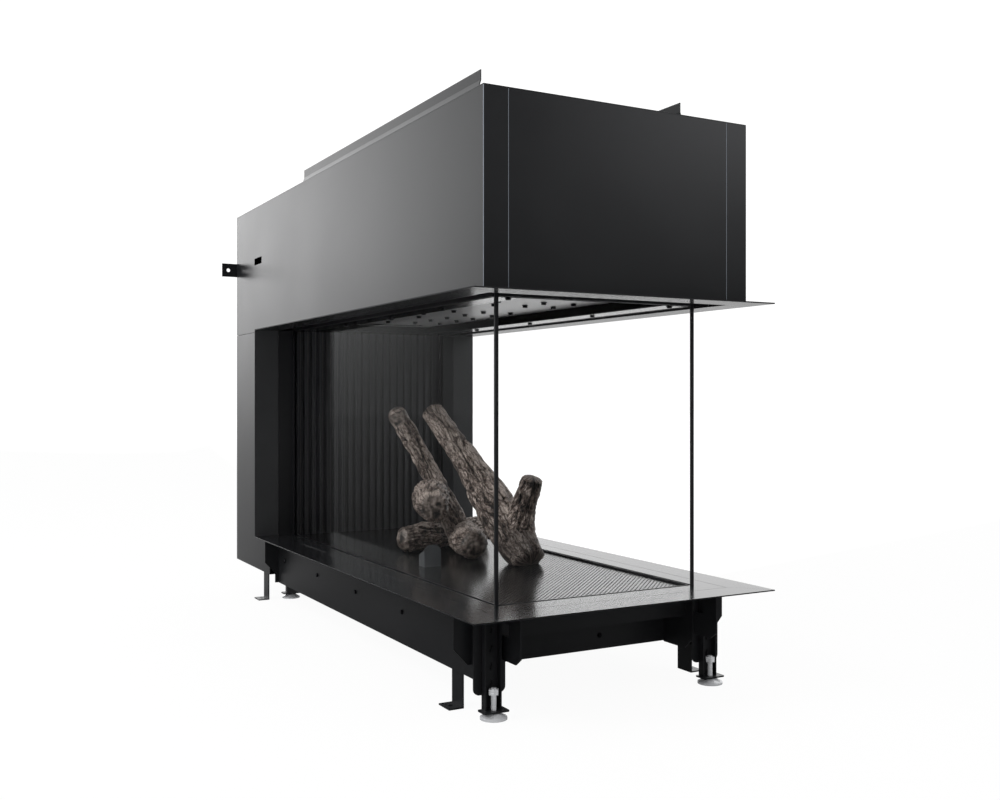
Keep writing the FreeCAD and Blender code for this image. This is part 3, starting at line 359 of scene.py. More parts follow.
@dataclass(frozen=True)
class BarkFinish:
    """Bark on a ceramic log: brown plates, char and paler cut ends; cracks painted dark as shade,
    ashen tops painted paler as light from above.
    """

    name: str
    soot_and_crevice_shade: Colour = (0.0075, 0.006, 0.005)
    bark: Colour = (0.155, 0.116, 0.097)
    ash_and_painted_light: Colour = (0.56, 0.475, 0.42)
    char: Colour = (0.016, 0.0125, 0.0105)
    cut_dark: Colour = (0.075, 0.058, 0.048)
    cut_pale: Colour = (0.24, 0.2, 0.175)
    plates_per_metre: float = 62.0
    flakes_per_metre: float = 170.0
    crack_width: float = 0.16
    fibres_per_metre: float = 330.0
    drifts_per_metre: float = 22.0
    mottle_per_metre: float = 75.0
    wobbles_per_metre: float = 45.0
    wobble: Point = (0.02, 0.02, 0.05)
    drawn: Point = (1.0, 1.0, 0.4)
    gloss_low: float = 0.32
    gloss_high: float = 0.6
    depth: float = 0.006

    def cracks(self, bench: ShaderBench, place: Socket, scale: float) -> Socket:
        """Gives 0 in the cracks between cells of bark and 1 on the cells."""
        cells = bench.add("ShaderNodeTexVoronoi", {"Vector": place, "Scale": scale},
                          feature="DISTANCE_TO_EDGE")
        return bench.span(cells.outputs["Distance"], 0.0, 1.0, 0.0, self.crack_width)

    def fibre_place(self, bench: ShaderBench) -> Socket:
        """Gives coordinates along the log's fibres, which wobble and are drawn out along it.

        Args:
            bench: The node tree to add to.

        Returns:
            The vector socket.
        """
        grain = bench.attribute("grain", "Vector")
        shift = bench.noise(self.wobbles_per_metre, 4.0, grain, "Color")
        moved = bench.vectors("MULTIPLY_ADD", shift, self.wobble, grain)
        return bench.stretched(self.drawn, moved["Vector"])

    def make(self) -> bpy.types.Material:
        """Builds the material.

        Two sizes of bark cells and the fibres give a height. The tone is that height, plus the
        depth of the grooves, a broad drift and a paler upper side: cracks and grooves are painted
        shade, raised bark and the upper side painted light from above, the drift random tone. Masks
        add char and cut ends.

        Returns:
            The material.
        """
        bench = ShaderBench(self.name)
        place = self.fibre_place(bench)
        plates = self.cracks(bench, place, self.plates_per_metre)
        flakes = self.cracks(bench, place, self.flakes_per_metre)
        fibre = bench.noise(self.fibres_per_metre, 5.0, place)
        height = bench.combine("ADD", bench.span(plates, 0.0, 0.5, 0.0, 1.0),
                               bench.span(flakes, 0.0, 0.4, 0.0, 1.0))
        height = bench.combine("ADD", height, bench.span(fibre, 0.0, 0.6))
        # The mesh's grooves darken the tone: painted shade in the crevices.
        groove = bench.span(bench.attribute("depth"), -0.3, 0.3, -0.8, 0.8)
        drift = bench.span(bench.noise(self.drifts_per_metre, 4.0), -0.3, 0.3)
        # Faces that point up are lighter: painted light from above.
        painted_top_light = bench.span(bench.upward(), -0.2, 0.25, -0.4, 0.7)
        tone = height
        for part in (groove, drift, painted_top_light):
            tone = bench.combine("ADD", tone, part)
        # Low tone takes the darkest colour as painted shade in cracks, high tone the palest as
        # painted light.
        bark = bench.ramp(bench.span(tone, 0.0, 1.0, 0.0, 1.5),
                          [(0.22, self.soot_and_crevice_shade), (0.58, self.bark), (1.0, self.ash_and_painted_light)])
        bark = bench.blend(bench.attribute("char"), bark, (*self.char, 1.0))
        mottle = bench.noise(self.mottle_per_metre, 6.0)
        cut = bench.ramp(bench.span(mottle, 0.0, 1.0),
                         [(0.1, self.soot_and_crevice_shade), (0.45, self.cut_dark), (0.95, self.cut_pale)])
        sawn = bench.attribute("cut")
        barked = bench.combine("MULTIPLY", height, bench.combine("SUBTRACT", 1.0, sawn))
        relief = bench.combine("ADD", barked, bench.combine("MULTIPLY", mottle, sawn))
        bench.surface(Base_Color=bench.blend(sawn, bark, cut),
                      Roughness=bench.span(fibre, self.gloss_low, self.gloss_high),
                      Normal=bench.bump(relief, self.depth))
        return bench.material


class Palette:
    """The finishes of the fireplace, made once, and which CAD nodes take each."""

    def __init__(self) -> None:
        """Makes every finish."""
        even = {"grain_depth": 0.0, "grain_tint": 0.0}
        dark, dark_pale = (0.0075, 0.0078, 0.0088), (0.012, 0.0124, 0.0135)
        # Near black for the upright walls of the ceiling recess: painted shade.
        wall = (0.004, 0.004, 0.004)
        rim_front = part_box("ceiling_rim")[0][1]
        # Slot walls of the deck, darker and rougher than the deck itself: painted shade in the
        # slots.
        self.shade = PaintFinish("slot_wall_painted_shade", (0.003, 0.003, 0.003), (0.005, 0.005, 0.005),
                                 gloss_low=0.7, gloss_high=0.8).make()
        self.casing = PaintFinish("satin_anthracite", dark, (0.011, 0.0114, 0.0125),
                                  gloss_low=0.3, gloss_high=0.33).make()
        self.trim = PaintFinish("trim_anthracite", dark, dark_pale,
                                gloss_low=0.17, gloss_high=0.19, **even).make()
        self.lining = PaintFinish("heatproof_black", (0.025, 0.0256, 0.027), (0.031, 0.0317, 0.033),
                                  gloss_low=0.42, gloss_high=0.46, **even).make()
        self.deck = PaintFinish("burner_deck_black", (0.007, 0.007, 0.0075), (0.011, 0.011, 0.0115),
                                gloss_low=0.18, gloss_high=0.2, **even).make()
        self.zinc = MetalFinish("zinc_plate", (0.8, 0.81, 0.83), (0.62, 0.63, 0.65),
                                0.18, 0.28, metal=0.34).make()
        self.steel = MetalFinish("stainless_sheet", (0.6, 0.6, 0.61), (0.45, 0.45, 0.46),
                                 0.28, 0.42).make()
        self.brass = MetalFinish("plain_brass", (0.62, 0.46, 0.2), (0.42, 0.3, 0.12),
                                 0.25, 0.45).make()
        self.bolt = MetalFinish("black_bolt", (0.045, 0.045, 0.05), (0.02, 0.02, 0.022),
                                0.35, 0.5).make()
        self.glass = GlassFinish("coated_glass").make()
        # Pale blue-grey for the strips in the hood's seams and corner: painted edge highlights.
        self.edge = MetalFinish("painted_seam_highlight", (0.28, 0.31, 0.36), (0.22, 0.25, 0.29),
                                0.3, 0.45, metal=0.2).make()
        # Ceiling baffle: grey on level faces, near-black matt upright tray walls as painted shade.
        self.ceiling = PaintFinish("ceiling_grey", (0.185, 0.185, 0.188), (0.205, 0.205, 0.208),
                                   gloss_low=0.33, gloss_high=0.36, wall=wall, **even).make()
        # Rim: matt front strip and near-black matt walls, as painted shade where they lie in
        # shadow.
        self.rim = PaintFinish("rim_anthracite", dark, dark_pale, gloss_low=0.22, gloss_high=0.25,
                               grain_depth=0.00001, grain_tint=0.0, wall=wall,
                               painted_shade_before=rim_front + 9 * MM).make()
        self.top_trim = PaintFinish("top_trim_anthracite", (0.022, 0.0224, 0.0235),
                                    (0.027, 0.0275, 0.0285), gloss_low=0.2, gloss_high=0.23,
                                    shine=0.02, **even).make()
        self.pilot = PaintFinish("pilot_grey", (0.05, 0.054, 0.058), (0.062, 0.066, 0.07),
                                 gloss_low=0.4, gloss_high=0.45).make()
        self.bark = BarkFinish("charred_bark").make()
        self.special = {"ceiling_baffle": self.ceiling, "pilot_hood": self.pilot,
                        "column_trims": self.lining, "ceiling_rim": self.rim,
                        "top_trims": self.top_trim}
        self.slots = {"casing": self.casing, "leg": self.casing, "lining": self.lining,
                      "glass": self.glass, "log": self.bark, "zinc": self.zinc,
                      "brass": self.brass, "stainless": self.steel}


def new_piece(name: str, points: np.ndarray, faces: list, smooth: bool = True) -> bpy.types.Object:
    """Puts points and faces into a mesh object at the origin.

    Args:
        name: The piece's name.
        points: Vertices in metres, one row each.
        faces: Vertex numbers of each face.
        smooth: Whether faces are shaded smooth.

    Returns:
        The object, linked into the scene.
    """
    mesh = bpy.data.meshes.new(name)
    mesh.from_pydata(points.tolist(), [], faces)
    mesh.polygons.foreach_set("use_smooth", np.full(len(mesh.polygons), smooth))
    mesh.update()
    piece = bpy.data.objects.new(name, mesh)
    bpy.context.scene.collection.objects.link(piece)
    return piece


def finish_piece(piece: bpy.types.Object, material: bpy.types.Material) -> None:
    """Gives a piece its material, rides it on the casing and reports it.

    Args:
        piece: The piece.
        material: Its material.
    """
    piece.data.materials.append(material)
    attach(piece, ROOT)
    LOG.info("%s: %d faces on %s", piece.name, len(piece.data.polygons), ROOT)


def tube_faces(rows: int, columns: int) -> list:
    """Lists the faces of a closed tube of rings.

    Ring i, point j joins its neighbours (i, j+1), (i+1, j+1) and (i+1, j), with j taken round.

    Args:
        rows: Number of rings.
        columns: Points in a ring.

    Returns:
        Four-cornered faces.
    """
    ring, point = np.meshgrid(np.arange(rows - 1), np.arange(columns), indexing="ij")
    after = (point + 1) % columns
    corners = np.stack([ring * columns + point, ring * columns + after,
                        (ring + 1) * columns + after, (ring + 1) * columns + point], axis=-1)
    return corners.reshape(-1, 4).tolist()


def lattice_noise(along: np.ndarray, around: np.ndarray, cells: tuple[int, int],
                  seed: int) -> np.ndarray:
    """Smooth noise on a grid that closes round the second direction.

    Random numbers from -1 to 1 stand on a lattice; between them the value eases from one to the
    next with the weight 3w^2 - 2w^3, first along and then around.

    Args:
        along: Places along, from 0 to 1.
        around: Places around, from 0 to 1.
        cells: Lattice cells along and around.
        seed: Seed of the random numbers.

    Returns:
        One value for each place.
    """
    lattice = np.random.default_rng(seed).uniform(-1.0, 1.0, (cells[0] + 2, cells[1]))
    u = np.clip(along, 0.0, 1.0) * cells[0]
    v = (around % 1.0) * cells[1]
    i, j = np.floor(u).astype(int), np.floor(v).astype(int) % cells[1]
    u, v = u - np.floor(u), v - np.floor(v)
    u, v = u * u * (3 - 2 * u), v * v * (3 - 2 * v)
    k = (j + 1) % cells[1]
    low = lattice[i, j] * (1 - v) + lattice[i, k] * v
    high = lattice[i + 1, j] * (1 - v) + lattice[i + 1, k] * v
    return low * (1 - u) + high * u


@dataclass(frozen=True)
class BarkRelief:
    """Sizes of the bark's relief: cells along and around a log, and the share of each form."""

    sway: float = 0.05
    sway_rate: float = 5.0
    wander: float = 0.035
    wander_cells: tuple[int, int] = (6, 4)
    fibre: float = 0.6
    fibre_cells: tuple[int, int] = (9, 34)
    fine: float = 0.4
    fine_cells: tuple[int, int] = (22, 72)
    fibre_share: float = 0.55
    groove: float = 0.8
    grooves_around: int = 15
    groove_width: float = 0.13
    flake: float = 0.25
    flake_cells: tuple[int, int] = (30, 18)
    lump: float = 0.55
    lump_cells: tuple[int, int] = (6, 5)
    lift: float = 0.2

    def height(self, along: np.ndarray, around: np.ndarray, seed: int,
               groove_cells: int) -> np.ndarray:
        """Height of the bark, about -1 to 1.

        Fibres are two noises drawn out along the log. Grooves are narrow valleys, a bell curve over
        the places where a third drawn-out noise crosses zero. Flakes and lumps are broader noises.

        Args:
            along: Place along the log, from 0 to 1.
            around: Place round it, from 0 to 1.
            seed: Seed of the random numbers.
            groove_cells: Lattice cells of the grooves along the log.

        Returns:
            The height at each place.
        """
        twist = around + self.sway * np.sin(along * self.sway_rate + seed)
        twist = twist + self.wander * lattice_noise(along, around, self.wander_cells, seed + 4)
        fibre = self.fibre * lattice_noise(along, twist, self.fibre_cells, seed)
        fibre = fibre + self.fine * lattice_noise(along, twist, self.fine_cells, seed + 1)
        valley = lattice_noise(along, twist, (groove_cells, self.grooves_around), seed + 2)
        groove = np.exp(-(valley / self.groove_width) ** 2)
        flake = lattice_noise(along, around, self.flake_cells, seed + 5)
        lump = lattice_noise(along, around, self.lump_cells, seed + 3)
        return (self.fibre_share * fibre - self.groove * groove + self.flake * flake
                + self.lump * lump + self.lift)


@dataclass
class LogForm:
    """One ceramic log: a bowed, tapered trunk with bark ridges and shaped ends."""

    name: str
    start: Point
    end: Point
    radii: tuple[float, ...]
    seed: int
    bow: float = 0.0
    ends: tuple[EndShape, EndShape] = (EndShape.FLAT, EndShape.ROUND)
    bark_depth: float = 0.0045
    rings: int = 220
    columns: int = 200
    groove_cells: int = 5
    char: tuple[float, float] = (0.0, 0.0)
    char_reach: float = 0.16
    char_fade: float = 1.6
    bald: tuple[float, float] = (0.0, 0.0)
    bald_edge: float = 40.0
    bald_smooth: float = 0.8
    cut_edge: float = 5.0
    cut_smooth: float = 0.85
    cap_rings: int = 22
    cap_centre: float = 0.04
    cap_ease: float = 1.6
    neck: tuple[float, float] = (1.0, 1.0)
    eased_rings: int = 25
    floor: float = 0.193
    relief: BarkRelief = BarkRelief()

    def profile(self) -> tuple[np.ndarray, np.ndarray, np.ndarray, np.ndarray]:
        """Works out the rings from end to end.

        The radius runs through the given values at even steps, eased over some rings. At each end,
        the rings shrink from the rim to a point, and stand out from the end plane as a quarter of
        an ellipse.

        Returns:
            Place along the axis, radius, share of a cut face, and bark share, for each ring.
        """
        share = np.linspace(0.0, 1.0, self.rings)
        body = np.interp(share, np.linspace(0.0, 1.0, len(self.radii)), self.radii)
        kernel = np.hanning(self.eased_rings)
        padded = np.pad(body, self.eased_rings // 2, mode="edge")
        body = np.convolve(padded, kernel / kernel.sum(), mode="valid")
        length = float(np.linalg.norm(np.subtract(self.end, self.start)))
        angle = np.linspace(self.cap_centre, 1.0, self.cap_rings) * math.pi / 2
        places, radii, cuts, barks = [], [], [], []
        for side, shape in enumerate(self.ends):
            order = slice(None) if side == 0 else slice(None, None, -1)
            rim = (body[0] if side == 0 else body[-1]) * self.neck[side]
            out = np.cos(angle) * rim * shape.value
            cut = np.clip((1.0 - np.sin(angle)) * self.cut_edge, 0.0, 1.0)
            if shape is EndShape.BROKEN:
                cut = np.zeros_like(angle)
            places.append(-out / length if side == 0 else 1.0 + out[order] / length)
            radii.append((rim * np.sin(angle))[order])
            cuts.append(cut[order])
            barks.append(1.0 - cuts[-1] * self.cut_smooth)
        near = np.clip((self.bald[0] - share) * self.bald_edge, 0.0, 1.0)
        far = np.clip((share - 1.0 + self.bald[1]) * self.bald_edge, 0.0, 1.0)
        bare = np.maximum(near, far)
        return (np.concatenate([places[0], share, places[1]]),
                np.concatenate([radii[0], body, radii[1]]),
                np.concatenate([cuts[0], bare, cuts[1]]),
                np.concatenate([barks[0], 1.0 - bare * self.bald_smooth, barks[1]]))

    def burnt(self, along: np.ndarray) -> np.ndarray:
        """Says how charred the log is: most at its ends, fading inwards.

        Args:
            along: Place along the log, from 0 to 1.

        Returns:
            The share of char at each place.
        """
        near = np.clip(self.char_fade - along / self.char_reach, 0.0, 1.0)
        far = np.clip(self.char_fade - (1.0 - along) / self.char_reach, 0.0, 1.0)
        return np.maximum(self.char[0] * near, self.char[1] * far)

    def faces(self, rows: int) -> list:
        """Lists the faces: the tube, and a fan to a point at each end.

        Args:
            rows: Number of rings.

        Returns:
            Faces; the last two vertices are the end points.
        """
        ring = np.arange(self.columns)
        after = (ring + 1) % self.columns
        base = (rows - 1) * self.columns
        pole = np.full_like(ring, rows * self.columns)
        return (tube_faces(rows, self.columns) + np.stack([after, ring, pole], axis=1).tolist()
                + np.stack([base + ring, base + after, pole + 1], axis=1).tolist())

    def build(self) -> bpy.types.Object:
        """Builds the mesh, kept above the deck.

        A point is axis + (radius + depth * height) * (cos, sin) across the axis.

        Returns:
            The log, with its groove depth, cut-face mask, char and straightened coordinates as
            attributes.
        """
        start, end = np.array(self.start), np.array(self.end)
        axis = end - start
        across = np.cross(axis, (0.0, 0.0, 1.0))
        across /= np.linalg.norm(across)
        upward = np.cross(across, axis)
        upward /= np.linalg.norm(upward)
        place, radius, cut, bark = self.profile()
        turn = np.arange(self.columns) / self.columns
        along, around = np.meshgrid(place, turn, indexing="ij")
        height = self.relief.height(along, around, self.seed, self.groove_cells) * bark[:, None]
        limit = np.minimum(1.0, radius / radius.max() * self.cap_ease)[:, None]
        reach = radius[:, None] + self.bark_depth * height * limit
        bend = self.bow * np.sin(math.pi * np.clip(place, 0.0, 1.0))
        spine = start + place[:, None] * axis + bend[:, None] * upward
        angle = around[..., None] * 2 * math.pi
        ways = np.cos(angle) * across + np.sin(angle) * upward
        points = (spine[:, None, :] + reach[..., None] * ways).reshape(-1, 3)
        points = np.concatenate([points, spine[[0, -1]]])
        points[:, 2] = np.maximum(points[:, 2], self.floor)
        piece = new_piece(self.name, points, self.faces(len(place)))
        cuts = np.broadcast_to(cut[:, None], height.shape).ravel()
        masks = {"depth": np.append(height.ravel(), [0.0, 0.0]),
                 "char": np.append(self.burnt(along).ravel(), [0.0, 0.0]),
                 "cut": np.append(cuts, [cut[0], cut[-1]])}
        straight = np.concatenate([np.cos(angle) * radius.max(), np.sin(angle) * radius.max(),
                                   (along * np.linalg.norm(axis))[..., None]], axis=-1)
        straight = straight.reshape(-1, 3)
        straight = np.concatenate([straight, straight[[0, -1]]]).astype(np.float32)
        layer = piece.data.attributes.new("grain", "FLOAT_VECTOR", "POINT")
        layer.data.foreach_set("vector", straight.ravel())
        for label, values in masks.items():
            layer = piece.data.attributes.new(label, "FLOAT", "POINT")
            layer.data.foreach_set("value", values.astype(np.float32))
        return piece


def log_forms() -> dict[str, list[LogForm]]:
    """Lists the logs.

    Returns:
        The logs by the CAD node that they stand for.
    """
    flat, rounded, broken = EndShape.FLAT, EndShape.ROUND, EndShape.BROKEN
    return {
        "log_cross": [
            LogForm("bark_cross", (-0.085, 0.028, 0.227), (0.155, 0.098, 0.228),
                    (0.03, 0.035, 0.034, 0.036, 0.034), 11, 0.003, (rounded, broken),
                    char=(0.3, 0.0))],
        "log_front": [
            LogForm("bark_front", (0.011, -0.143, 0.23), (0.05, -0.019, 0.23),
                    (0.035, 0.039, 0.039), 23, 0.0, (rounded, broken), rings=120, groove_cells=3)],
        "log_crown": [
            LogForm("bark_crown", (-0.063, -0.078, 0.314), (0.006, 0.088, 0.306),
                    (0.033, 0.042, 0.046, 0.046, 0.044, 0.04), 37, 0.02, (flat, rounded),
                    bark_depth=0.005, rings=160, neck=(0.97, 1.0), groove_cells=3)],
        "log_leaning": [
            LogForm("bark_leaning", (0.043, -0.0216, 0.233), (-0.08, 0.1015, 0.538),
                    (0.032, 0.032, 0.027, 0.023, 0.0215, 0.0215, 0.025), 41, 0.004,
                    (broken, rounded), char=(0.4, 0.0), bald=(0.0, 0.1))],
        "log_branch": [
            LogForm("bark_branch", (0.083, -0.285, 0.205), (0.0, 0.0575, 0.546),
                    (0.040, 0.050, 0.051, 0.045, 0.036, 0.030, 0.027, 0.025), 53, 0.006,
                    (broken, broken), bark_depth=0.006, rings=260, char=(0.6, 0.0)),
            LogForm("bark_stub", (0.077, -0.238, 0.25), (0.089, -0.292, 0.39),
                    (0.042, 0.038, 0.031, 0.027, 0.0245), 67, 0.002, (broken, broken),
                    bark_depth=0.0035, rings=140, groove_cells=3)],
    }


@dataclass
class LogStack:
    """The five logs on the deck, which take the places of their CAD solids."""

    logs: dict[str, list[LogForm]] = field(default_factory=log_forms)

    def build(self, palette: Palette) -> None:
        """Builds every log and puts it in its solid's place.

        Args:
            palette: The finishes.
        """
        for node, forms in self.logs.items():
            for form in forms:
                piece = form.build()
                finish_piece(piece, palette.bark)
                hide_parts(node)


@dataclass
class SlottedDeck:
    """The burner deck: a thin plate with fine slots that all run at 45 degrees."""

    pitch: float = 10.7 * MM
    slot_share: float = 0.27
    border: float = 9 * MM
    bridge: float = 6 * MM
    pieces_across: int = 24
    weld_gap: float = 0.02 * MM

    def build(self, palette: Palette) -> None:
        """Builds the plate on a sheared grid.

        Lines of the grid run across the plate at even x and along the diagonals y = x + step, so
        that a slot is one row of cells between two diagonals. Points are moved to the edge of the
        pierced field where a diagonal leaves it. Cells of a slot are left out, and the plate gets
        its thickness afterwards.

        Args:
            palette: The finishes.
        """
        low, high = (np.array(corner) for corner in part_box("burner_deck"))
        field_low, field_high = low[:2] + self.border, high[:2] - self.border
        width = field_high[0] - field_low[0]
        inner = np.linspace(self.bridge / 2, width - self.bridge / 2, self.pieces_across + 1)
        x_lines = np.concatenate([[field_low[0]], field_low[0] + inner, [field_high[0]]])
        in_slot = np.ones(len(x_lines) - 1, bool)
        in_slot[[0, -1]] = False
        first = field_low[1] - field_high[0]
        count = int(math.ceil((field_high[1] - field_low[0] - first) / self.pitch)) + 1
        steps = first + self.pitch * np.arange(count)
        y_steps = np.stack([steps, steps + self.pitch * self.slot_share], axis=1).ravel()
        x, step = np.meshgrid(x_lines, y_steps, indexing="ij")
        y = np.clip(x + step, field_low[1], field_high[1])
        points = np.stack([x, y, np.full_like(x, high[2])], axis=-1).reshape(-1, 3)
        size = len(y_steps)
        i, j = np.meshgrid(np.arange(len(x_lines) - 1), np.arange(size - 1), indexing="ij")
        corner = i * size + j
        faces = np.stack([corner, corner + size, corner + size + 1, corner + 1], axis=-1)
        hole = in_slot[:, None] & (np.arange(size - 1) % 2 == 0)[None, :]
        reach = np.ptp(points[faces.reshape(-1, 4), 1], axis=1).reshape(hole.shape)
        flat = np.abs(y[:-1, 1:] - y[:-1, :-1]) + np.abs(y[1:, 1:] - y[1:, :-1]) < TINY
        kept = ~hole & ~flat & (reach > TINY)
        square = np.array([[0, 0], [1, 0], [1, 1], [0, 1]], bool)
        edge = np.concatenate([np.where(square, high[:2], low[:2]),
                               np.where(square, field_high, field_low)])
        rim = np.column_stack([edge, np.full(len(edge), high[2])])
        base = len(points)
        border = [[base + a, base + (a + 1) % 4, base + 4 + (a + 1) % 4, base + 4 + a]
                  for a in range(4)]
        piece = new_piece("slotted_deck", np.concatenate([points, rim]),
                          faces[kept].tolist() + border, False)
        self.thicken(piece, high[2] - low[2])
        finish_piece(piece, palette.deck)
        # The slot walls and the plate's rim take the darker slot finish: painted shade.
        piece.data.materials.append(palette.shade)
        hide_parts("burner_deck")

    def thicken(self, piece: bpy.types.Object, thickness: float) -> None:
        """Merges the doubles of the flat sheet and gives it its thickness, downwards.

        Args:
            piece: The sheet.
            thickness: Its thickness.
        """
        weld = piece.modifiers.new("weld", "WELD")
        weld.merge_threshold = self.weld_gap
        solid = piece.modifiers.new("plate", "SOLIDIFY")
        solid.thickness = thickness
        solid.offset = -1.0
        solid.material_offset_rim = 1


@dataclass
class Fasteners:
    """The visible screws and bolts, each row one piece of many low heads."""

    skirt_x: float = 0.276
    skirt_y: tuple[float, ...] = (-0.641, -0.376, -0.111, 0.154, 0.419)
    skirt_z: float = 0.134
    pan_x: tuple[float, ...] = (-0.157, 0.055, 0.267)
    pan_z: float = 0.097
    rim_x: tuple[float, ...] = (-0.19, 0.19)
    rim_y: tuple[float, ...] = (-0.676, -0.393, -0.112, 0.176, 0.44)
    baffle_x: tuple[float, ...] = (-0.115, -0.04, 0.04, 0.115)
    baffle_y: tuple[float, ...] = (-0.635, -0.345, -0.145, 0.055, 0.255)
    between_x: tuple[float, ...] = (-0.135, -0.075, 0.038, 0.115)
    between_y: tuple[float, ...] = (-0.43, -0.05, 0.15)
    baffle_sheet: float = 2 * MM
    sides: int = 6
    steps: tuple[tuple[float, float], ...] = (
        (1.28, 0.0), (1.28, 0.18), (1.0, 0.18), (1.0, 0.82), (0.86, 1.0))

    def head(self, radius: float, height: float) -> tuple[np.ndarray, list]:
        """Works out one head: rings of a polygon that narrow towards the top, closed by a face.

        Args:
            radius: Radius at the corners.
            height: Height over the seat.

        Returns:
            Points with the head along +Z, and faces.
        """
        angle = 2 * math.pi * np.arange(self.sides) / self.sides
        circle = np.stack([np.cos(angle), np.sin(angle)], axis=1) * radius
        rings = [np.column_stack([circle * scale, np.full(self.sides, rise * height)])
                 for scale, rise in self.steps]
        top = (len(self.steps) - 1) * self.sides
        faces = tube_faces(len(self.steps), self.sides) + [list(range(top, top + self.sides))]
        return np.concatenate(rings), faces

    def row(self, name: str, seats: list[Point], way: Axis, palette: Palette,
            radius: float = 4.6 * MM, height: float = 3.5 * MM) -> None:
        """Builds a row of heads, each a copy of one head, turned and moved to its seat.

        Args:
            name: The piece's name.
            seats: Where the heads sit, in metres.
            way: The way they face.
            palette: The finishes.
            radius: Corner radius of a head.
            height: Height of a head.
        """
        points, faces = self.head(radius, height)
        up = np.array(way.value, float)
        helper = np.array([1.0, 0.0, 0.0] if way is Axis.DOWN else [0.0, 0.0, 1.0])
        first = np.cross(helper, up)
        second = np.cross(up, first)
        turned = points @ np.stack([first, second, up])
        every = (np.array(seats)[:, None, :] + turned[None]).reshape(-1, 3)
        copies = [[corner + shift * len(points) for corner in face]
                  for shift in range(len(seats)) for face in faces]
        finish_piece(new_piece(name, every, copies, False), palette.bolt)

    def build(self, palette: Palette) -> None:
        """Builds the rows of the skirts, the base pan and the ceiling.

        Args:
            palette: The finishes.
        """
        for label, side, way in (("left", -1, Axis.LEFT), ("right", 1, Axis.RIGHT)):
            seats = [(side * self.skirt_x, y, self.skirt_z) for y in self.skirt_y]
            self.row(f"skirt_bolts_{label}", seats, way, palette)
        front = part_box("base_pan")[0][1]
        seats = [(x, front, self.pan_z) for x in self.pan_x]
        self.row("pan_bolts", seats, Axis.FRONT, palette)
        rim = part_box("ceiling_rim")[0][2]
        seats = [(x, y, rim) for x in self.rim_x for y in self.rim_y]
        self.row("rim_screws", seats, Axis.DOWN, palette, 5.2 * MM, 4 * MM)
        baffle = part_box("ceiling_baffle")[1][2] - self.baffle_sheet
        seats = [(x, y, baffle) for y in self.baffle_y for x in self.baffle_x]
        seats += [(x, y, baffle) for y in self.between_y for x in self.between_x]
        self.row("baffle_screws", seats, Axis.DOWN, palette, 5.6 * MM, 6 * MM)


@dataclass
class HoodSeams:
    """Pale strips in the seams of the hood's front and on its outer corner: painted edge
    highlights.
    """

    width: float = 0.9 * MM
    proud: float = 0.15 * MM
    sunk: float = 0.3 * MM
    end_gap: float = 0.5 * MM
    corner_width: float = 50 * MM

    def build(self, palette: Palette) -> None:
        """Builds one piece of upright strips, each a thin box from the trim to the roof, pale as
        highlights.

        Args:
            palette: The finishes.
        """
        low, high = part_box("hood_front_panel")
        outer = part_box("hood_corners")
        gap = (outer[1][0] - self.corner_width + high[0]) / 2
        front = low[1]
        places = [(-gap, front + self.sunk), (gap, front + self.sunk),
                  (outer[0][0] + self.sunk, front - self.proud)]
        corners = np.array([[x, y, z] for z in (0.0, 1.0)
                            for x, y in ((0, 0), (1, 0), (1, 1), (0, 1))], float)
        size = np.array([self.width, self.width, high[2] - low[2] - 2 * self.end_gap])
        start = np.array([[x - self.width / 2, y, low[2] + self.end_gap] for x, y in places])
        points = (start[:, None, :] + corners[None] * size).reshape(-1, 3)
        box = [[3, 2, 1, 0], [4, 5, 6, 7], [0, 1, 5, 4], [1, 2, 6, 5], [2, 3, 7, 6], [3, 0, 4, 7]]
        faces = [[corner + 8 * i for corner in face] for i in range(len(places)) for face in box]
        finish_piece(new_piece("hood_seam_highlights", points, faces, False), palette.edge)


@dataclass
class SheetWork:
    """The CAD nodes that stay: their finishes, and a small rounding of the sheet edges."""

    edge_round: float = 0.3 * MM
    edge_angle: float = 0.6
    edge_segments: int = 2
    weld_gap: float = 0.01 * MM
    sharp: tuple[str, ...] = ("glass_left", "glass_right", "glass_front", "back_wall")
    polished: tuple[str, ...] = ("base_trim", "hearth_rails")

    def dress(self, nodes: dict[str, bpy.types.Object], record: dict, palette: Palette) -> None:
        """Gives each node its finish and rounds its edges.

        Args:
            nodes: The CAD nodes.
            record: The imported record.
            palette: The finishes.
        """
        slots = {row["node"]: row["material_slot"] for row in record["subparts"]}
        for name, node in nodes.items():
            node.data.materials.clear()
            usual = palette.slots[slots[name]]
            finish = palette.trim if name.startswith(self.polished) else usual
            node.data.materials.append(palette.special.get(name, finish))
            if name not in self.sharp:
                self.round_edges(node)
            LOG.info("%s takes %s", name, slots[name])

    def round_edges(self, node: bpy.types.Object) -> None:
        """Merges the loose triangles and bevels the sharp edges, as modifiers.

        Args:
            node: The CAD node.
        """
        weld = node.modifiers.new("weld", "WELD")
        weld.merge_threshold = self.weld_gap
        bevel = node.modifiers.new("edge_round", "BEVEL")
        bevel.width = self.edge_round
        bevel.segments = self.edge_segments
        bevel.limit_method = "ANGLE"
        bevel.angle_limit = self.edge_angle
        bevel.harden_normals = False


@dataclass(frozen=True)
class Lamp:
    """A soft square lamp: where it hangs, what it points at, its width, power and gloss share."""

    name: str
    place: Point
    target: Point
    power: float
    size: float = 2.0
    shine: float = 0.1

    def hang(self) -> None:
        """Adds the lamp, turned towards its target."""
        lamp = bpy.data.lights.new(self.name, "AREA")
        lamp.size = self.size
        lamp.energy = self.power
        lamp.specular_factor = self.shine
        holder = bpy.data.objects.new(self.name, lamp)
        holder.location = self.place
        way = np.subtract(self.place, self.target)
        tilt = math.atan2(math.hypot(way[0], way[1]), way[2])
        holder.rotation_euler = (tilt, 0.0, math.atan2(way[1], way[0]) + math.pi / 2)
        bpy.context.scene.collection.objects.link(holder)


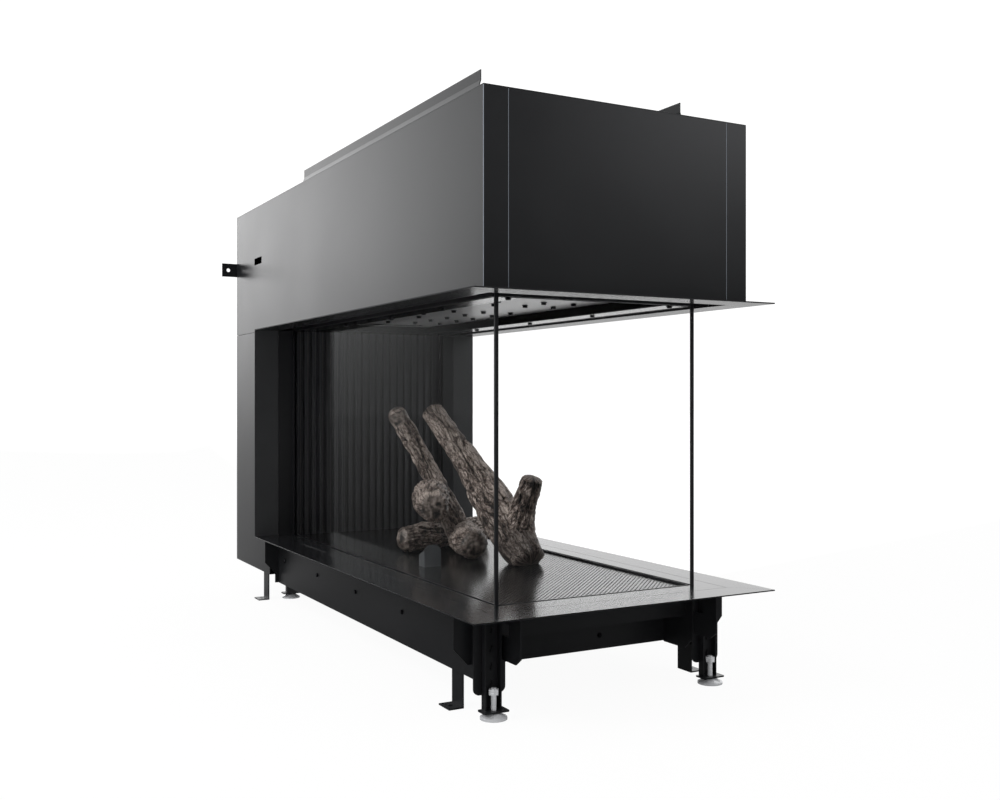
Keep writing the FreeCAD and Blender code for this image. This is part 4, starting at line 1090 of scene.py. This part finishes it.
@dataclass
class Studio:
    """Camera at the photo's viewpoint, pale floor, white surround and soft lamps."""

    eye: Point = (-1.17796, -2.43323, 0.581)
    heading: float = -28.91
    lens: float = 38.53
    sensor: float = 36.0
    shift_y: float = -0.0021
    floor_size: float = 60.0
    floor_colour: tuple[float, ...] = (0.93, 0.93, 0.93, 1.0)
    floor_rough: float = 0.9
    floor_white: float = 0.95
    floor_near: float = 0.42
    floor_far: float = 0.7
    floor_right: float = 0.85
    near_metres: float = 2.0
    far_metres: float = 14.0
    right_full: float = 0.25
    front_dim: float = 0.08
    left_dim: float = 0.07
    right_bright: float = 1.35
    back_ways: tuple[float, float] = (-0.2, 0.35)
    side_ways: tuple[float, float] = (-0.55, 0.15)
    panel_way: Point = (-0.1, 0.985, 0.14)
    panel_edge: float = 0.93
    panel_bright: float = 2.9
    panel_foot: float = 0.22
    panel_rise: float = 0.13
    fill: float = 0.85
    surround_white: float = 1.12
    lamps: tuple[Lamp, ...] = (
        Lamp("key_lamp", (-3.2, 0.6, 2.6), (0.0, 0.0, 0.4), 90.0),
        Lamp("fill_lamp", (2.6, -2.8, 2.6), (0.0, -0.1, 0.5), 20.0))

    def build(self) -> None:
        """Builds everything that isn't the object."""
        self.place_camera()
        self.lay_floor()
        self.set_world()
        for lamp in self.lamps:
            lamp.hang()
        bpy.context.scene.view_settings.view_transform = "Standard"

    def place_camera(self) -> None:
        """Sets the camera level at the eye, turned by the heading, with the photo's view angle."""
        camera = bpy.data.cameras.new("camera")
        camera.lens = self.lens
        camera.sensor_width = self.sensor
        camera.sensor_fit = "HORIZONTAL"
        camera.shift_y = self.shift_y
        holder = bpy.data.objects.new("camera", camera)
        holder.location = self.eye
        holder.rotation_euler = (math.pi / 2, 0.0, math.radians(self.heading))
        bpy.context.scene.collection.objects.link(holder)
        bpy.context.scene.camera = holder

    def lay_floor(self) -> None:
        """Lays a pale floor: white with a soft shadow, and dimmer in gloss near and left."""
        half = self.floor_size / 2
        corners = np.array([[-half, -half, 0], [half, -half, 0], [half, half, 0], [-half, half, 0]])
        floor = new_piece("floor", corners, [[0, 1, 2, 3]], False)
        bench = ShaderBench("pale_floor")
        plain = bench.surface(Base_Color=self.floor_colour, Roughness=self.floor_rough)
        path = bench.add("ShaderNodeLightPath").outputs
        way = bench.vectors("NORMALIZE", bench.place)["Vector"]
        distant = bench.span(bench.vectors("LENGTH", bench.place)["Value"], self.floor_near,
                             self.floor_far, self.near_metres, self.far_metres)
        right = bench.span(bench.parts(way)["X"], 0.0, self.floor_right, 0.0, self.right_full)
        mirrored = bench.combine("MULTIPLY", self.mirror_image(bench, way),
                                 bench.combine("MAXIMUM", distant, right))
        seen = bench.combine("MAXIMUM", path["Is Camera Ray"], path["Is Transmission Ray"])
        bright = bench.combine("MAXIMUM", seen, mirrored)
        white = bench.add("ShaderNodeEmission", {"Color": WHITE, "Strength": bright})
        share = bench.combine("MULTIPLY", bench.combine("MAXIMUM", seen, path["Is Glossy Ray"]),
                              self.floor_white)
        bench.mixed(share, plain.outputs["BSDF"], white.outputs["Emission"])
        floor.data.materials.append(bench.material)

    def mirror_image(self, bench: NodeBench, way: Socket) -> Socket:
        """Says how bright the surround shows in gloss: dim in front and left, bright behind.

        Args:
            bench: The node tree to add to.
            way: Direction from the object.

        Returns:
            The brightness socket.
        """
        parts = bench.parts(way)
        back = bench.span(parts["Y"], 0.0, 1.0, *self.back_ways)
        side = bench.span(parts["X"], self.left_dim, self.right_bright, *self.side_ways)
        facing = bench.vectors("DOT_PRODUCT", way, self.panel_way)["Value"]
        panel = bench.span(facing, 0.0, self.panel_bright, self.panel_edge, 1.0)
        rise = bench.span(parts["Z"], self.panel_foot, 1.0, 0.0, self.panel_rise)
        bright = bench.combine("ADD", side, bench.combine("MULTIPLY", panel, rise))
        return bench.combine("ADD", bench.combine("MULTIPLY", back, bright), self.front_dim)

    def set_world(self) -> None:
        """Makes a white surround that lights evenly and shows its own mirror image in gloss."""
        world = bpy.data.worlds.new("surround")
        world.use_nodes = True
        bpy.context.scene.world = world
        bench = NodeBench(world.node_tree)
        path = bench.add("ShaderNodeLightPath").outputs
        way = bench.add("ShaderNodeTexCoord").outputs["Generated"]
        feeds = {0: path["Is Glossy Ray"], 2: self.fill, 3: self.mirror_image(bench, way)}
        strength = bench.add("ShaderNodeMix", feeds, data_type="FLOAT").outputs[0]
        seen = bench.combine("MAXIMUM", path["Is Camera Ray"], path["Is Transmission Ray"])
        seen = bench.combine("MULTIPLY", seen, self.surround_white)
        bright = bench.combine("MAXIMUM", seen, strength)
        light = bench.add("ShaderNodeBackground", {"Color": WHITE, "Strength": bright})
        bench.add("ShaderNodeOutputWorld", {"Surface": light.outputs["Background"]})


def main() -> None:
    """Builds the studio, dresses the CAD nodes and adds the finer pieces."""
    logging.basicConfig(level=logging.INFO, format="%(name)s %(message)s")
    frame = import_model()
    Studio().build()
    palette = Palette()
    SheetWork().dress(frame["nodes"], frame["record"], palette)
    LogStack().build(palette)
    SlottedDeck().build(palette)
    Fasteners().build(palette)
    HoodSeams().build(palette)
    bpy.context.view_layer.update()


if __name__ == "__main__":
    main()
